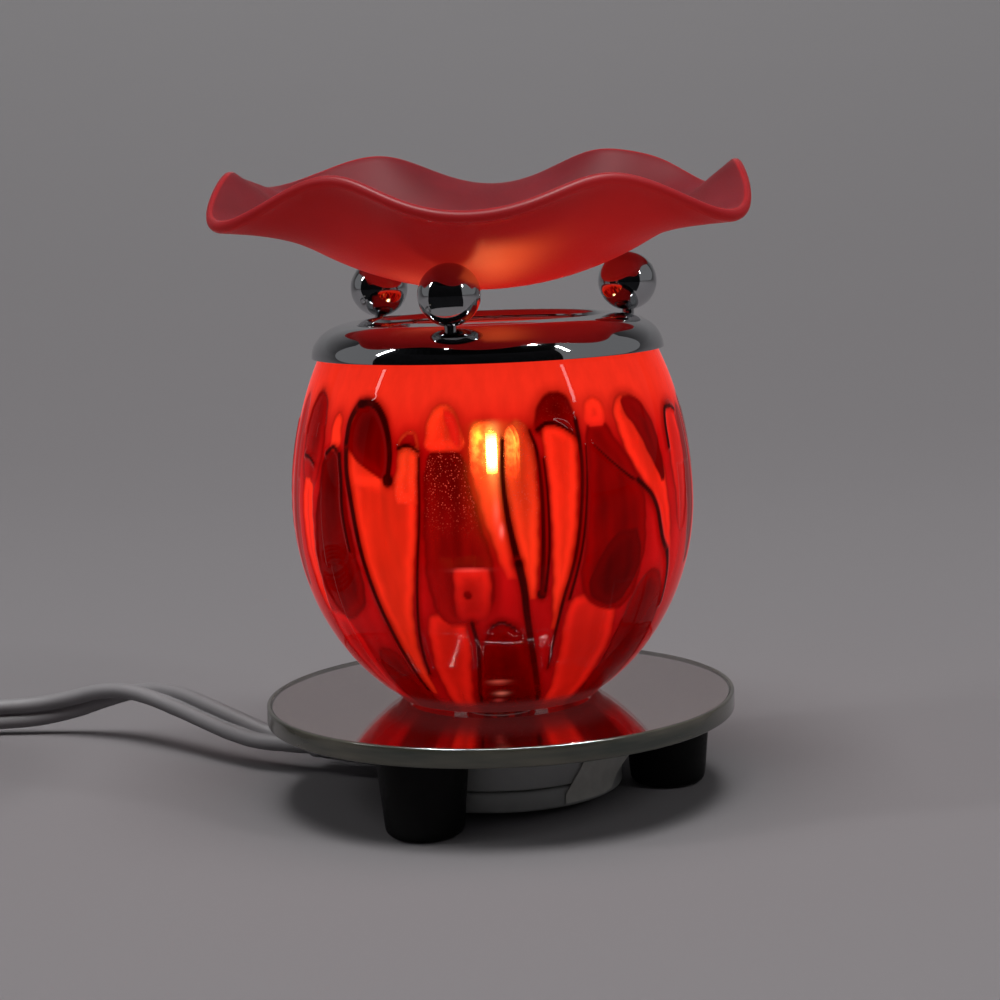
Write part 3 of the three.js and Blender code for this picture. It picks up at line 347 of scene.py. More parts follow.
# The jar's drips and windows in front. Each shape has its outline, as rows of height, left angle and
# right angle from the top down, its colours at the top and the bottom, the strength of its dark edge, the
# share that is seen through at the top and the bottom, and its sparkle
front_shapes = [
    ([(44, -62, -53), (38, -62, -48.6), (30, -60, -50), (22, -58, -52)],
     (strip_red, low_red), 0.1, (0, 0), 0),
    ([(37.5, -41, -38.6), (36.4, -44, -35.6), (33.5, -46.6, -33.2), (29, -48.4, -31.6),
      (24, -50, -30.6), (21, -50.6, -30.4)], (dark_red, maroon), 0.2, (0, 0), 0),
    ([(46, -17, -12.5), (45.2, -20, -9.8), (42, -21.3, -9), (36, -22.3, -9), (28, -23, -11),
      (21, -23, -12)], (warm_red, warm_red), 0.25, (0, 0), 0),
    ([(48.6, 25, 31), (47.8, 21.6, 35), (45, 20.2, 37), (38, 19.8, 38.6), (30, 20.4, 38),
      (22, 21.4, 37.4)], (warm_red, warm_red), 0.2, (0, 0), 0),
    ([(43.6, 0.6, 2.2), (42.6, -2, 5), (40, -4, 7.6), (36, -6, 10.4), (31, -8, 13.4), (26, -10, 16.4),
      (21, -11, 18)], (dark_red, line_black), 0.6, (0, 0), 0),
    ([(51.4, 49.3, 50.8), (50.4, 46.6, 53.6), (47.5, 43.8, 57), (43, 41.5, 59.4), (37, 40, 61),
      (30, 39, 62.5), (21, 38.5, 63.5)], (dark_red, maroon), 0.25, (0, 0), 0),
    ([(88, -76, -74), (84, -79, -71), (70, -80, -70.6), (55, -78.5, -71), (48, -76, -73)],
     (deep_red, dark_red), 0.2, (0, 0), 0),
    ([(89, -63.2, -61.5), (88, -65.5, -59), (85.5, -67.5, -56.8), (81, -68.3, -55.6), (76, -68, -56),
      (72, -67, -57.5), (69, -65, -60)], (dark_red, deep_red), 0.35, (0.1, 0), 0),
    ([(71.5, -65, -62), (69.5, -66.5, -60.3), (64, -66.8, -60), (56, -66, -60.2), (48, -64.5, -60.5),
      (44, -63, -61.5)], (bright_orange, warm_red), 0.15, (0.15, 0), 0),
    ([(78.2, -50.8, -49.2), (77.2, -53, -47.4), (74.5, -55, -46), (70, -56, -44.6), (64, -58, -43),
      (57, -59.3, -41.2), (52, -59.6, -40.3), (47, -57.5, -41.5), (44, -54.5, -47), (42.8, -52.5, -51.5)],
     (maroon, dark_red), 0.45, (0.05, 0), 0),
    ([(85, -50.4, -49.2), (83.8, -51.8, -47.9), (81, -52.2, -47.6), (78.8, -52, -47.8), (77.8, -51, -49)],
     (bright_orange, bright_orange), 0.3, (0.2, 0), 0),
    ([(73.6, -42.5, -40), (72.6, -42.3, -31), (71.5, -42, -21.5), (70, -41.8, -20.4), (64, -40, -20.5),
      (59, -38.8, -21.3), (52, -36.8, -23), (44, -34.2, -25.2), (37, -32.2, -26.3), (30, -30.4, -27),
      (27, -29.5, -28)], (bright_orange, bright_orange), 0.3, (0.28, 0.1), 0),
    ([(87.8, -38.5, -36.5), (87, -41.2, -34.2), (85.3, -43, -31.6), (82.5, -44.2, -29.8),
      (79, -44.6, -28.9), (75.5, -43.6, -28.8), (73, -42.6, -29.2), (71, -41.5, -30)],
     (bright_orange, bright_orange), 0.1, (0.25, 0.1), 0),
    ([(86.8, -39.5, -35), (85.6, -42, -32), (83, -43.6, -30), (79.5, -44.2, -29.3),
      (76.5, -41.5, -29.2), (74.5, -37, -29.3), (73.2, -33.5, -30), (72.6, -31.8, -31)],
     (maroon, dark_red), 0.1, (0, 0), 0),
    ([(82, -23.6, -22.2), (81, -25.5, -20.9), (79, -26.4, -20.2), (75, -26.8, -20.1),
      (71, -27.5, -20.1), (68, -26.5, -20.4)], (amber, bright_orange), 0.25, (0.4, 0.1), 0.7),
    ([(81.6, -23.8, -22), (80.6, -25.2, -21.2), (79.3, -25.8, -20.6), (78.9, -25, -21.2)],
     (deep_red, dark_red), 0.1, (0, 0), 0),
    ([(78.5, -15.2, -11), (77.5, -17.4, -8.6), (75, -18.3, -7), (71, -18.6, -6), (66, -18.8, -4.2),
      (61, -18.9, -2.4), (56, -19, -0.9), (52, -18.8, -0.6), (48, -18, -1.6), (45, -16.4, -4),
      (43.4, -13.5, -7)], (maroon, deep_red), 0.35, (0.12, 0.34), 1),
    # Painted view of the bulb holder behind the glass, as a lighter red block
    ([(55.4, -10.4, -3.4), (54.6, -11.7, -1.8), (50, -11.9, -1.4), (46, -11.7, -2), (44.3, -10.6, -3.6)],
     (warm_red, deep_red), 0.3, (0.1, 0.1), 0),
    ([(50.6, -8.6, -7.4), (49.8, -9.2, -6.8), (49, -8.6, -7.4)], (dark_red, maroon), 0.5, (0, 0), 0),
    ([(87, -14.6, -12.4), (86, -16.6, -10.6), (84, -17.9, -9), (81, -18.6, -8), (79.2, -18.6, -7.6),
      (78.2, -17, -9)], (amber, bright_orange), 0.25, (0.4, 0.3), 0.5),
    ([(86, -13.8, -12.2), (84.5, -13.5, -10), (82, -12, -8.8), (80, -10.6, -8.2), (79, -9.6, -8.6)],
     (warm_red, warm_red), 0.1, (0.2, 0.2), 0.3),
    ([(83.7, -3.2, -0.6), (82.8, -5, 1), (80.5, -6, 2), (77, -6, 2.2), (72, -5, 2.4), (66, -3, 3),
      (61, -1, 3.8), (57, 0.8, 4.8), (53, 3, 5.6)], (amber, warm_red), 0.25, (0.52, 0), 0.3),
    ([(83.3, 6.4, 8.2), (82.4, 4.6, 9.8), (80, 3.4, 11), (76, 3, 11.6), (70, 3.2, 11.9),
      (64, 4.3, 11.8), (58, 5.8, 11.6), (52, 7.6, 11.2), (48.6, 8.8, 10.4)],
     (amber, bright_orange), 0.25, (0.62, 0), 1),
    ([(88.5, 17.6, 20.4), (87.6, 15.2, 22.4), (85.5, 13.3, 23.9), (82.5, 12.5, 24.6),
      (80.5, 13.5, 24.4), (79, 16, 24)], (maroon, dark_red), 0.4, (0, 0), 0.1),
    ([(82.4, 14.4, 18), (81.6, 13.8, 21.6), (80, 14, 24), (76, 14.4, 23.9), (70, 14.7, 23.2),
      (64, 14.9, 22.6), (58, 15.2, 21.6), (52, 15.4, 20), (47, 15.8, 18.4), (42, 16, 17.2)],
     (bright_orange, bright_orange), 0.3, (0.3, 0.05), 0.2),
    ([(82.3, 29.4, 32.4), (81.4, 27.8, 34.6), (78.5, 27, 37), (74.5, 26.5, 40.6), (70, 25.6, 44),
      (65, 25, 45.4), (58, 24.4, 45.4), (53, 23.8, 44.6), (48, 25.5, 43), (45.6, 30, 41), (44.4, 35, 39)],
     (dark_red, dark_red), 0.3, (0, 0), 0),
    ([(60.5, 35.5, 42), (57.5, 31, 43.6), (53.5, 27.6, 43.8), (50.2, 26.6, 42.6), (47.8, 27.8, 40.4),
      (46.4, 30.6, 38.8), (45.6, 33, 36.4)], (maroon, maroon), 0, (0, 0), 0),
    ([(87, 30.2, 31.8), (86, 28.2, 34), (84, 27.5, 34.8), (82.4, 27.7, 34.4), (81.4, 29, 33)],
     (bright_orange, warm_red), 0.2, (0.15, 0), 0),
    ([(87, 42, 44.5), (86, 39.4, 47.5), (83.5, 37.8, 51), (80, 38.2, 53), (76, 40.2, 54.5),
      (72, 43, 55.4), (68, 46, 56.2), (63, 50.4, 57), (58, 53, 58), (54.5, 56, 58.4)],
     (bright_orange, warm_red), 0.35, (0.25, 0.1), 0),
    ([(86.6, 43, 46), (85.4, 41.6, 49.6), (82.5, 43, 52.4), (79, 46, 54), (75, 49, 55),
      (71.5, 51.6, 55.4), (69, 53.4, 55)], (dark_red, maroon), 0.1, (0, 0), 0),
    ([(84, 64.5, 67), (82.6, 61.8, 69.6), (78, 60, 71), (72, 60, 71), (66, 61, 69.6), (60, 62, 68),
      (57.6, 63.6, 66)], (warm_red, deep_red), 0.4, (0.1, 0), 0),
    ([(83, 74, 76), (80, 71.5, 78), (70, 70.6, 79), (58, 71, 78), (50, 73, 76)],
     (dark_red, maroon), 0.3, (0, 0), 0),
]

# Each dark line in front: points of angle and height, its half width at both ends, and its knob's radius
front_lines = [
    ([(-44.5, 79), (-43.6, 74), (-41.2, 67), (-39, 59), (-37, 52), (-34.6, 44), (-32.4, 36), (-31, 28)],
     0.66, 0.35, 0),
    ([(-44.6, 79.5), (-44.2, 83.5), (-42, 86.4), (-39.5, 87.3)], 0.55, 0.75, 0),
    ([(-41, 87), (-37, 87.3), (-33.4, 85.8), (-30.2, 82), (-28.8, 77.5), (-29.2, 72.5)],
     0.85, 0.5, 1.15),
    ([(-26.2, 78.8), (-23.5, 79.3), (-20.3, 78.2)], 0.42, 0.3, 0),
    ([(3.0, 80), (2.6, 73), (3.4, 66), (4.8, 60), (6, 56)], 0.4, 0.7, 0),
    ([(6, 56), (7.4, 51), (8.4, 45), (10.4, 38), (13.4, 31), (17.5, 25)], 0.8, 0.5, 0),
    ([(10.6, 81.5), (12.2, 77.5), (12.9, 70), (12.8, 60), (12.4, 49.5)], 0.28, 0.5, 0.95),
    ([(13.9, 76), (14.4, 68), (14.3, 58), (13.4, 50)], 0.18, 0.3, 0),
    ([(12.8, 81.6), (16, 82.8), (20, 82), (24.4, 79.8)], 0.42, 0.36, 0),
    ([(24.4, 83), (24.8, 75), (23.7, 66), (21.6, 56), (18.8, 48), (17.2, 40), (17, 33)], 0.45, 0.25, 0),
    ([(26.5, 78), (25.4, 68), (23.6, 58), (20.6, 48)], 0.15, 0.3, 0),
    ([(29, 78), (34, 74.5), (40, 71), (43, 70)], 0.1, 0.35, 0),
    ([(43, 70), (45.4, 68.6), (48, 66.8), (50.2, 63.8), (51.6, 60), (53.2, 57), (56, 54.4)],
     0.55, 0.6, 0),
    ([(56, 54.4), (58, 50), (60, 43)], 0.6, 0.25, 0),
    ([(59.4, 75.5), (60, 80), (62, 82.9), (66, 83.2), (69.5, 82.3)], 0.5, 0.4, 0),
    ([(-66, 76), (-62.4, 75.6), (-59.4, 74.5)], 0.4, 0.25, 0),
    ([(-53, 77), (-50, 78.4), (-47.2, 77)], 0.4, 0.4, 0),
    ([(-47, 77), (-45.6, 72), (-45, 66), (-43, 58)], 0.5, 0.3, 0),
    ([(-20.0, 77), (-19.9, 66), (-20.9, 58), (-22.4, 50), (-24.6, 40), (-25.8, 32)], 0.2, 0.3, 0),
    ([(-7.5, 44), (-6.4, 38), (-7.5, 31), (-9, 25)], 0.4, 0.35, 0),
    ([(-2, 43), (1.2, 44), (5, 42.4)], 0.3, 0.3, 0),
]

# Painted glare of the bulb and painted highlights: angle, height, reach in degrees, reach in height,
# added colour
painted_glare_and_highlights = [
    # Painted glare of the bulb, seen through the windows
    (0.2, 76.0, 4.6, 9.0, (0.42, 0.10, 0.01)),
    (0.4, 77.6, 1.7, 5.4, (0.70, 0.50, 0.14)),
    (-3.9, 81.2, 1.1, 2.0, (0.40, 0.28, 0.02)),
    (7.0, 79.5, 0.9, 3.6, (0.40, 0.14, 0.02)),
    # Painted highlights on the glass, on the bulb holder seen through it, and near the foot
    (0.6, 66.5, 0.8, 2.6, (0.55, 0.07, 0.06)),
    (1.8, 62.6, 0.6, 1.2, (0.70, 0.18, 0.16)),
    (-7.2, 55.0, 4.0, 0.35, (0.45, 0.06, 0.05)),
    (-0.6, 30.2, 3.4, 0.40, (0.75, 0.12, 0.08)),
    (0.4, 27.2, 2.6, 0.45, (0.80, 0.20, 0.14)),
    (-1.0, 25.2, 2.2, 0.30, (0.55, 0.06, 0.05)),
]


# Shapes and places

def at_angle(radius, degrees, height=0.0):
    turn = math.radians(degrees)
    return np.array([radius * math.cos(turn), radius * math.sin(turn), height])


def smooth(low, high, value):
    """A step from 0 at the low value to 1 at the high one, with soft ends."""
    share = np.clip((value - low) / (high - low), 0, 1)
    return share * share * (3 - 2 * share)


def hump(value, middle, reach):
    """A soft bell: 1 at its middle, and nearly 0 from twice its reach on."""
    return np.exp(-((value - middle) / reach) ** 2)


def sideways(angles, centre):
    """Angles in degrees, measured from a centre, from -180 to 180."""
    return (angles - centre + 180) % 360 - 180


def arc(centre, across, along, first, last, steps):
    """Points on part of an ellipse, between two angles in degrees."""
    turns = np.radians(np.linspace(first, last, steps + 1))
    return [(centre[0] + across * math.cos(t), centre[1] + along * math.sin(t)) for t in turns]


def soften(outline, size, steps=3):
    """Rounds the corners of an outline, and leaves its first and last point."""
    rounded = [outline[0]]
    for before, corner, after in zip(outline, outline[1:], outline[2:]):
        a, b, c = (np.array(p, float) for p in (before, corner, after))
        ends = []
        for other in (a, c):
            length = np.linalg.norm(other - b)
            ends.append(b + (other - b) / max(length, 1e-9) * min(size, 0.45 * length))
        for t in (step / steps for step in range(steps + 1)):
            rounded.append(tuple((1 - t) ** 2 * ends[0] + 2 * t * (1 - t) * b + t * t * ends[1]))
    rounded.append(outline[-1])
    return rounded


def block(inner, outer, bottom, top):
    """The corners of a ring with square edges, from the bottom of its bore."""
    return [(inner, bottom), (outer, bottom), (outer, top), (inner, top)]


def ring_outline(inner, outer, bottom, top, edge=0.3):
    """The outline of a ring with rounded edges, which starts and ends halfway up its bore."""
    middle = (bottom + top) / 2
    return soften([(inner, middle), *block(inner, outer, bottom, top), (inner, middle + 0.01)], edge)


def curved(points, steps=8):
    """A smooth line through points."""
    points = np.array(points, float)
    padded = np.vstack([2 * points[0] - points[1], points, 2 * points[-1] - points[-2]])
    line = []
    for a, b, c, d in zip(padded, padded[1:], padded[2:], padded[3:]):
        for t in np.linspace(0, 1, steps, endpoint=False):
            line.append(0.5 * (2 * b + (c - a) * t + (2 * a - 5 * b + 4 * c - d) * t * t
                               + (3 * b - a - 3 * c + d) * t ** 3))
    line.append(points[-1])
    return np.array(line)


# Meshes

def add_object(name, data):
    """An object in the scene, from a mesh, a lamp or a camera."""
    made = bpy.data.objects.new(name, data)
    bpy.context.scene.collection.objects.link(made)
    return made


def mesh_of(name, points, faces):
    mesh = bpy.data.meshes.new(name)
    mesh.from_pydata(points, [], faces)
    mesh.update()
    return mesh


def shade_smooth(mesh):
    mesh.polygons.foreach_set("use_smooth", [True] * len(mesh.polygons))


def weld(mesh):
    """Joins the points that lie on each other, and turns every face outward."""
    shape = bmesh.new()
    shape.from_mesh(mesh)
    bmesh.ops.remove_doubles(shape, verts=shape.verts, dist=1e-6)
    bmesh.ops.recalc_face_normals(shape, faces=shape.faces)
    shape.to_mesh(mesh)
    shape.free()


def build(name, points, faces, body, finish, stands_for=(), sharp=40, sealed=False):
    """A mesh from points in millimetres, measured from the lamp's axis, riding on a body."""
    moved = (np.asarray(points, float) + np.array([0, -lamp_drift, 0])) * millimetre
    mesh = mesh_of(name, moved.tolist(), faces)
    if sealed:
        weld(mesh)
    shade_smooth(mesh)
    mesh.set_sharp_from_angle(angle=math.radians(sharp))
    piece = add_object(name, mesh)
    mesh.materials.append(finishes[finish])
    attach(piece, body)
    if stands_for:
        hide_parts(*stands_for)
    return piece


def ring_faces(rings, count, closed=False):
    """The faces between rings of points. Closed joins the last ring to the first."""
    faces = []
    last = rings if closed else rings - 1
    for i in range(last):
        base, above = i * count, ((i + 1) % rings) * count
        for j in range(count):
            k = (j + 1) % count
            faces.append((base + j, base + k, above + k, above + j))
    return faces


def tube_faces(rings, count):
    """The faces between rings of points, with a cap on the first ring and on the last."""
    last = (rings - 1) * count
    caps = [tuple(range(count - 1, -1, -1)), tuple(range(last, last + count))]
    return ring_faces(rings, count) + caps


def turned(name, outline, sides, body, finish, stands_for=(), centre=(0, 0), sharp=40):
    """A body of revolution round a vertical line, from an outline of (radius, height)."""
    on_axis = outline[0][0] == 0 and outline[-1][0] == 0
    angles = np.linspace(0, 2 * math.pi, sides, endpoint=False)
    points = [(centre[0] + r * math.cos(a), centre[1] + r * math.sin(a), z)
              for r, z in outline for a in angles]
    faces = ring_faces(len(outline), sides, closed=not on_axis)
    return build(name, points, faces, body, finish, stands_for, sharp, sealed=True)


def write_attribute(mesh, name, values):
    """Stores a number or a colour for each point of a mesh."""
    is_colour = values.ndim == 2
    made = mesh.attributes.new(name, "FLOAT_COLOR" if is_colour else "FLOAT", "POINT")
    if is_colour:
        values = np.hstack([values, np.ones((len(values), 1))])
    made.data.foreach_set("color" if is_colour else "value", values.astype(np.float32).ravel())


# Nodes of a material

def shader_of(name):
    """A new material, its nodes, and its main shader."""
    material = bpy.data.materials.new(name)
    material.use_nodes = True
    tree = material.node_tree
    return material, tree, tree.nodes["Principled BSDF"]


def feed(tree, node, inputs):
    """Gives a node's inputs, by name or number, a value each or the result of another node."""
    for key, value in inputs.items():
        socket = node.inputs[key] if isinstance(key, (int, str)) else key
        if isinstance(value, bpy.types.NodeSocket):
            tree.links.new(value, socket)
        elif socket.type == "RGBA":
            socket.default_value = (*value, 1)
        else:
            socket.default_value = value


def add_node(tree, kind, inputs=None, **settings):
    node = tree.nodes.new("ShaderNode" + kind)
    for name, value in settings.items():
        setattr(node, name, value)
    feed(tree, node, inputs or {})
    return node


def maths(tree, operation, first, second):
    return add_node(tree, "Math", {0: first, 1: second}, operation=operation).outputs[0]


def multiplied(tree, first, *others):
    for other in others:
        first = maths(tree, "MULTIPLY", first, other)
    return first


def object_space(tree):
    return add_node(tree, "TexCoord").outputs["Object"]


def height_of(tree):
    """The height above the floor, in metres."""
    return add_node(tree, "SeparateXYZ", {0: object_space(tree)}).outputs["Z"]


def noise(tree, per_millimetre, detail=3.0, stretch=None):
    """Soft grain, as fine as it is given per millimetre, and stretched where that is asked."""
    place = object_space(tree)
    if stretch:
        place = add_node(tree, "VectorMath", {0: place, 1: stretch}, operation="MULTIPLY").outputs[0]
    grain = {"Scale": 1000 * per_millimetre, "Detail": detail, "Vector": place}
    return add_node(tree, "TexNoise", grain).outputs["Fac"]


def attribute(tree, name, output):
    return add_node(tree, "Attribute", attribute_name=name).outputs[output]


def ranged(tree, source, low, high, from_low=0.3, from_high=0.7):
    """A value that goes from low to high as its source goes between two levels."""
    limits = {"Value": source, "From Min": from_low, "From Max": from_high, "To Min": low, "To Max": high}
    return add_node(tree, "MapRange", limits).outputs["Result"]


def mixed(tree, share, first, second):
    """The first colour, with a share of the second in it."""
    node = add_node(tree, "Mix", data_type="RGBA")
    sockets = [socket for socket in node.inputs if socket.enabled]
    feed(tree, node, dict(zip(sockets, (share, first, second))))
    return next(socket for socket in node.outputs if socket.enabled)


def between(tree, grain, first, second):
    """A colour that wanders between two with the grain."""
    return mixed(tree, ranged(tree, grain, 0, 1), first, second)


def bumped(tree, shader, source, strength, depth):
    """Fine relief on a surface, its depth in millimetres."""
    relief = {"Strength": strength, "Distance": depth * millimetre, "Height": source}
    feed(tree, shader, {"Normal": add_node(tree, "Bump", relief).outputs["Normal"]})


def surfaces_mixed(tree, share, first, second):
    """The first surface, with a share of the second in it."""
    return add_node(tree, "MixShader", {0: share, 1: first.outputs[0], 2: second.outputs[0]}).outputs[0]


def show(tree, surface):
    feed(tree, tree.nodes["Material Output"], {"Surface": surface})


# Materials

def plain(name, colour, roughness, metal=0.0, shade=0.12, grain=0.25, spread=0.06, bump=0.0, gloss=0.5):
    """A finish whose colour and roughness wander a little over the surface."""
    material, tree, shader = shader_of(name)
    coarse, fine = noise(tree, grain / 6), noise(tree, grain, detail=5)
    darker = tuple(c * (1 - shade) for c in colour)
    lighter = tuple(min(1, c * (1 + shade / 2)) for c in colour)
    feed(tree, shader, {
        "Base Color": between(tree, coarse, darker, lighter),
        "Roughness": ranged(tree, fine, max(0.01, roughness - spread), roughness + spread),
        "Metallic": metal,
        "Specular IOR Level": gloss,
    })
    if bump:
        bumped(tree, shader, fine, 0.35, bump)
    return material


def jar_material():
    """Lit red glass, with fine bubbles where it sparkles and clear windows in it."""
    material, tree, shader = shader_of("jar_glass")
    glow = attribute(tree, "glow", "Color")
    streaks = noise(tree, 0.5, detail=4, stretch=(1, 1, 0.12))
    streaked = mixed(tree, ranged(tree, streaks, 0.0, 0.12), glow, streak_red)
    # Painted sparkle: bright red flecks where the bulb's light catches fine bubbles in the glass
    cells = add_node(tree, "TexVoronoi", {"Scale": bubbles_per_metre, "Vector": object_space(tree)})
    dots = ranged(tree, cells.outputs["Distance"], 1, 0, 0.12, 0.34)
    patches = ranged(tree, noise(tree, 0.9, detail=2), 0.1, 1, 0.38, 0.60)
    bubbles = multiplied(tree, dots, patches, attribute(tree, "sparkle", "Fac"))
    feed(tree, shader, {
        "Emission Color": mixed(tree, bubbles, streaked, bubble_red),
        "Emission Strength": jar_brightness,
        "Base Color": mixed(tree, 0.85, glow, (0.03, 0.0, 0.0)),
        "Roughness": ranged(tree, streaks, 0.008, 0.022),
        "IOR": 1.5,
        "Specular IOR Level": 0.05,
    })
    through = add_node(tree, "BsdfTransparent", {"Color": mixed(tree, 0.12, glow, window_tint)})
    show(tree, surfaces_mixed(tree, attribute(tree, "clear", "Fac"), shader, through))
    return material


def dish_material():
    """Frosted red glass with a fire-polished lip whose lighter red is a painted highlight, lit from below
    by the bulb.
    """
    material, tree, shader = shader_of("dish_glass")
    cloud, fine = noise(tree, 0.06, detail=4), noise(tree, 3.0)
    lip = attribute(tree, "lip", "Fac")
    feed(tree, shader, {
        # Painted highlight: the lip mixes in a lighter red
        "Base Color": mixed(tree, lip, between(tree, cloud, dish_dark_red, dish_light_red), lip_highlight_red),
        "Roughness": ranged(tree, lip, ranged(tree, fine, 0.42, 0.54), 0.16, 0, 1),
        "Emission Color": attribute(tree, "lamp_light", "Color"),
        "Emission Strength": 1.0,
        "Subsurface Weight": 0.25,
        "Subsurface Radius": (1.0, 0.12, 0.08),
        "Subsurface Scale": 3 * millimetre,
        "Specular IOR Level": 0.06,
    })
    bumped(tree, shader, fine, 0.08, 0.05)
    return material


def clear_material(name, tint, glow_strength=0.0):
    """Thin clear glass: mostly see-through, with a gloss that grows at glancing angles."""
    material, tree, shader = shader_of(name)
    fine = noise(tree, 0.4)
    feed(tree, shader, {
        "Base Color": between(tree, fine, tint, tuple(c * 0.93 for c in tint)),
        "Roughness": ranged(tree, fine, 0.02, 0.06),
        "Metallic": 1,
    })
    through = add_node(tree, "BsdfTransparent", {"Color": tint})
    gloss = add_node(tree, "Fresnel", {"IOR": 1.45}).outputs[0]
    outside = maths(tree, "SUBTRACT", 1, add_node(tree, "NewGeometry").outputs["Backfacing"])
    surface = surfaces_mixed(tree, multiplied(tree, gloss, outside), through, shader)
    show(tree, add_bulb_glow(tree, surface, glow_strength) if glow_strength else surface)
    return material


def add_bulb_glow(tree, surface, strength):
    """Light in flecks on a surface, strongest at the height of the filament."""
    height = height_of(tree)
    below = ranged(tree, height, 0, 1, glow_start * millimetre, filament_height * millimetre)
    above = ranged(tree, height, 1, 0.25, glow_fade * millimetre, bulb_top * millimetre)
    level = maths(tree, "POWER", multiplied(tree, below, above), 3)
    flecks = ranged(tree, noise(tree, 0.7, detail=2), 0.25, 2.2, 0.40, 0.66)
    brightness = multiplied(tree, flecks, level, strength)
    light = add_node(tree, "Emission", {"Color": bulb_light, "Strength": brightness})
    return add_node(tree, "AddShader", {0: surface, 1: light.outputs[0]}).outputs[0]


def edge_material():
    """The ground and polished rim of the mirror plate: greenish glass with brown lights."""
    material, tree, shader = shader_of("plate_edge")
    bands = noise(tree, 0.05, detail=2, stretch=(1, 1, 8))
    feed(tree, shader, {
        "Base Color": between(tree, bands, edge_green, edge_brown),
        "Roughness": ranged(tree, noise(tree, 0.6, stretch=(1, 1, 4)), 0.14, 0.20),
        "IOR": 1.52,
        "Coat Weight": 0.4,
        "Coat Roughness": 0.06,
    })
    return material


def lamp_material():
    """The filament, which is white hot along its middle and cooler towards its ends."""
    material, tree, shader = shader_of("filament_wire")
    low, high = filament_height - filament_length / 2, filament_height + filament_length / 2
    height = height_of(tree)
    foot = ranged(tree, height, 0, 1, low * millimetre, (low + filament_cool_end) * millimetre)
    head = ranged(tree, height, 1, 0, (high - filament_cool_end) * millimetre, high * millimetre)
    feed(tree, shader, {
        "Emission Color": between(tree, noise(tree, 2.0), filament_orange, filament_yellow),
        "Emission Strength": ranged(tree, multiplied(tree, foot, head), 2, filament_brightness, 0, 1),
        "Base Color": (0.4, 0.35, 0.3),
        "Metallic": 0.8,
        "Roughness": 0.4,
    })
    return material


def make_materials():
    """Every finish by its name, which is also the name of the slot that it fills."""
    made = {name: plain(name, **look) for name, look in plain_finishes.items()}
    made["jar_glass"] = jar_material()
    made["dish_glass"] = dish_material()
    made["plate_edge"] = edge_material()
    made["filament_wire"] = lamp_material()
    made["plate_clear"] = clear_material("plate_clear", (0.985, 0.985, 0.98))
    made["bulb_quartz"] = clear_material("bulb_quartz", (0.98, 0.98, 0.98), bulb_brightness)
    made["pinch_quartz"] = clear_material("pinch_quartz", (0.9, 0.88, 0.85))
    return made


# Jar

def jar_radius(height):
    sweep = np.where(height > jar_widest, jar_upper_sweep, jar_lower_sweep)
    return jar_widest_radius * np.sqrt(np.clip(1 - ((height - jar_widest) / sweep) ** 2, 0, 1))


def drip_outline(centre, high, half, low, drift):
    """An arch that narrows to a point below, as rows of height, left angle and right angle."""
    wide = half / back_millimetres_per_degree
    rows = [(high, centre - wide * 0.25, centre + wide * 0.25)]
    rows.append((high - arch_height, centre - wide * 0.75, centre + wide * 0.75))
    for share in (0.06, 0.2, 0.4, 0.6, 0.8, 0.95, 1.0):
        width = wide * (1 - 0.85 * share ** 1.5)
        middle = centre + drift * share
        rows.append((high - arch_height - (high - low) * share, middle - width, middle + width))
    return rows


def round_the_back():
    """The drips that the front doesn't show: the same kind, set out round the back from a fixed seed."""
    choose = random.Random(back_seed)
    shapes, lines = [], []
    angle = back_first_angle
    while angle < back_last_angle:
        high, half = choose.uniform(82, 89), choose.uniform(3.0, 5.6)
        low, drift = choose.uniform(32, 56), choose.uniform(-4, 5)
        tones = choose.choice([(bright_orange, bright_orange), (maroon, dark_red), (amber, bright_orange),
                               (warm_red, deep_red)])
        see = 0.3 if tones[0] in (amber, bright_orange) else 0.0
        if choose.random() < 0.5:
            rows = drip_outline(angle + 4, choose.uniform(40, 51), choose.uniform(3, 4.5), 12, 1)[:6]
            rows.append((21, angle - 4, angle + 12))
            shapes.append((rows, (dark_red, maroon), 0.3, (0, 0), 0))
        rows = drip_outline(angle, high, half, low, drift)
        shapes.append((rows, tones, 0.35, (see, 0), choose.uniform(0, 0.8)))
        if see and choose.random() < 0.6:
            rows = drip_outline(angle + 0.5, high - 1.2, half * 0.8, high - choose.uniform(7, 14), 1)
            shapes.append((rows, (dark_red, maroon), 0.1, (0, 0), 0))
        side = half / back_millimetres_per_degree
        end = choose.uniform(40, 62)
        thread = [(angle + side, high - 4), (angle + side * 0.9, (high + end) / 2),
                  (angle + side * 0.5 + drift * 0.6, end)]
        lines.append((thread, 0.35, 0.62, choose.choice([0, 0, 1.0])))
        angle += (2 * half + choose.uniform(1.2, 3.4)) / back_millimetres_per_degree
    return shapes, lines


def round_the_jar(angles, heights, middle):
    """Millimetres along the glass from a middle angle."""
    return sideways(angles, middle) * (jar_radius(heights) * math.pi / 180)


def blended(values, colour, share):
    """Colours with a share of one colour in them, point by point."""
    return values + share[..., None] * (np.array(colour) - values)


def to_segments(x, z, line):
    """The distance from each point to a line of points, and how far along the line it is nearest."""
    best, along = np.full(x.shape, 1e9), np.zeros(x.shape)
    last = len(line) - 1
    for i, (a, b) in enumerate(zip(line, line[1:])):
        way = b - a
        t = np.clip(((x - a[0]) * way[0] + (z - a[1]) * way[1]) / max(way @ way, 1e-12), 0, 1)
        gap = np.hypot(x - a[0] - t * way[0], z - a[1] - t * way[1])
        nearer = gap < best
        best = np.where(nearer, gap, best)
        along = np.where(nearer, (i + t) / last, along)
    return best, along


def is_inside(x, z, outline):
    """Whether each point lies inside a closed outline."""
    inside = np.zeros(x.shape, bool)
    for a, b in zip(outline, np.roll(outline, -1, axis=0)):
        spans = (a[1] > z) != (b[1] > z)
        if a[1] != b[1]:
            inside ^= spans & (x < (b[0] - a[0]) * (z - a[1]) / (b[1] - a[1]) + a[0])
    return inside


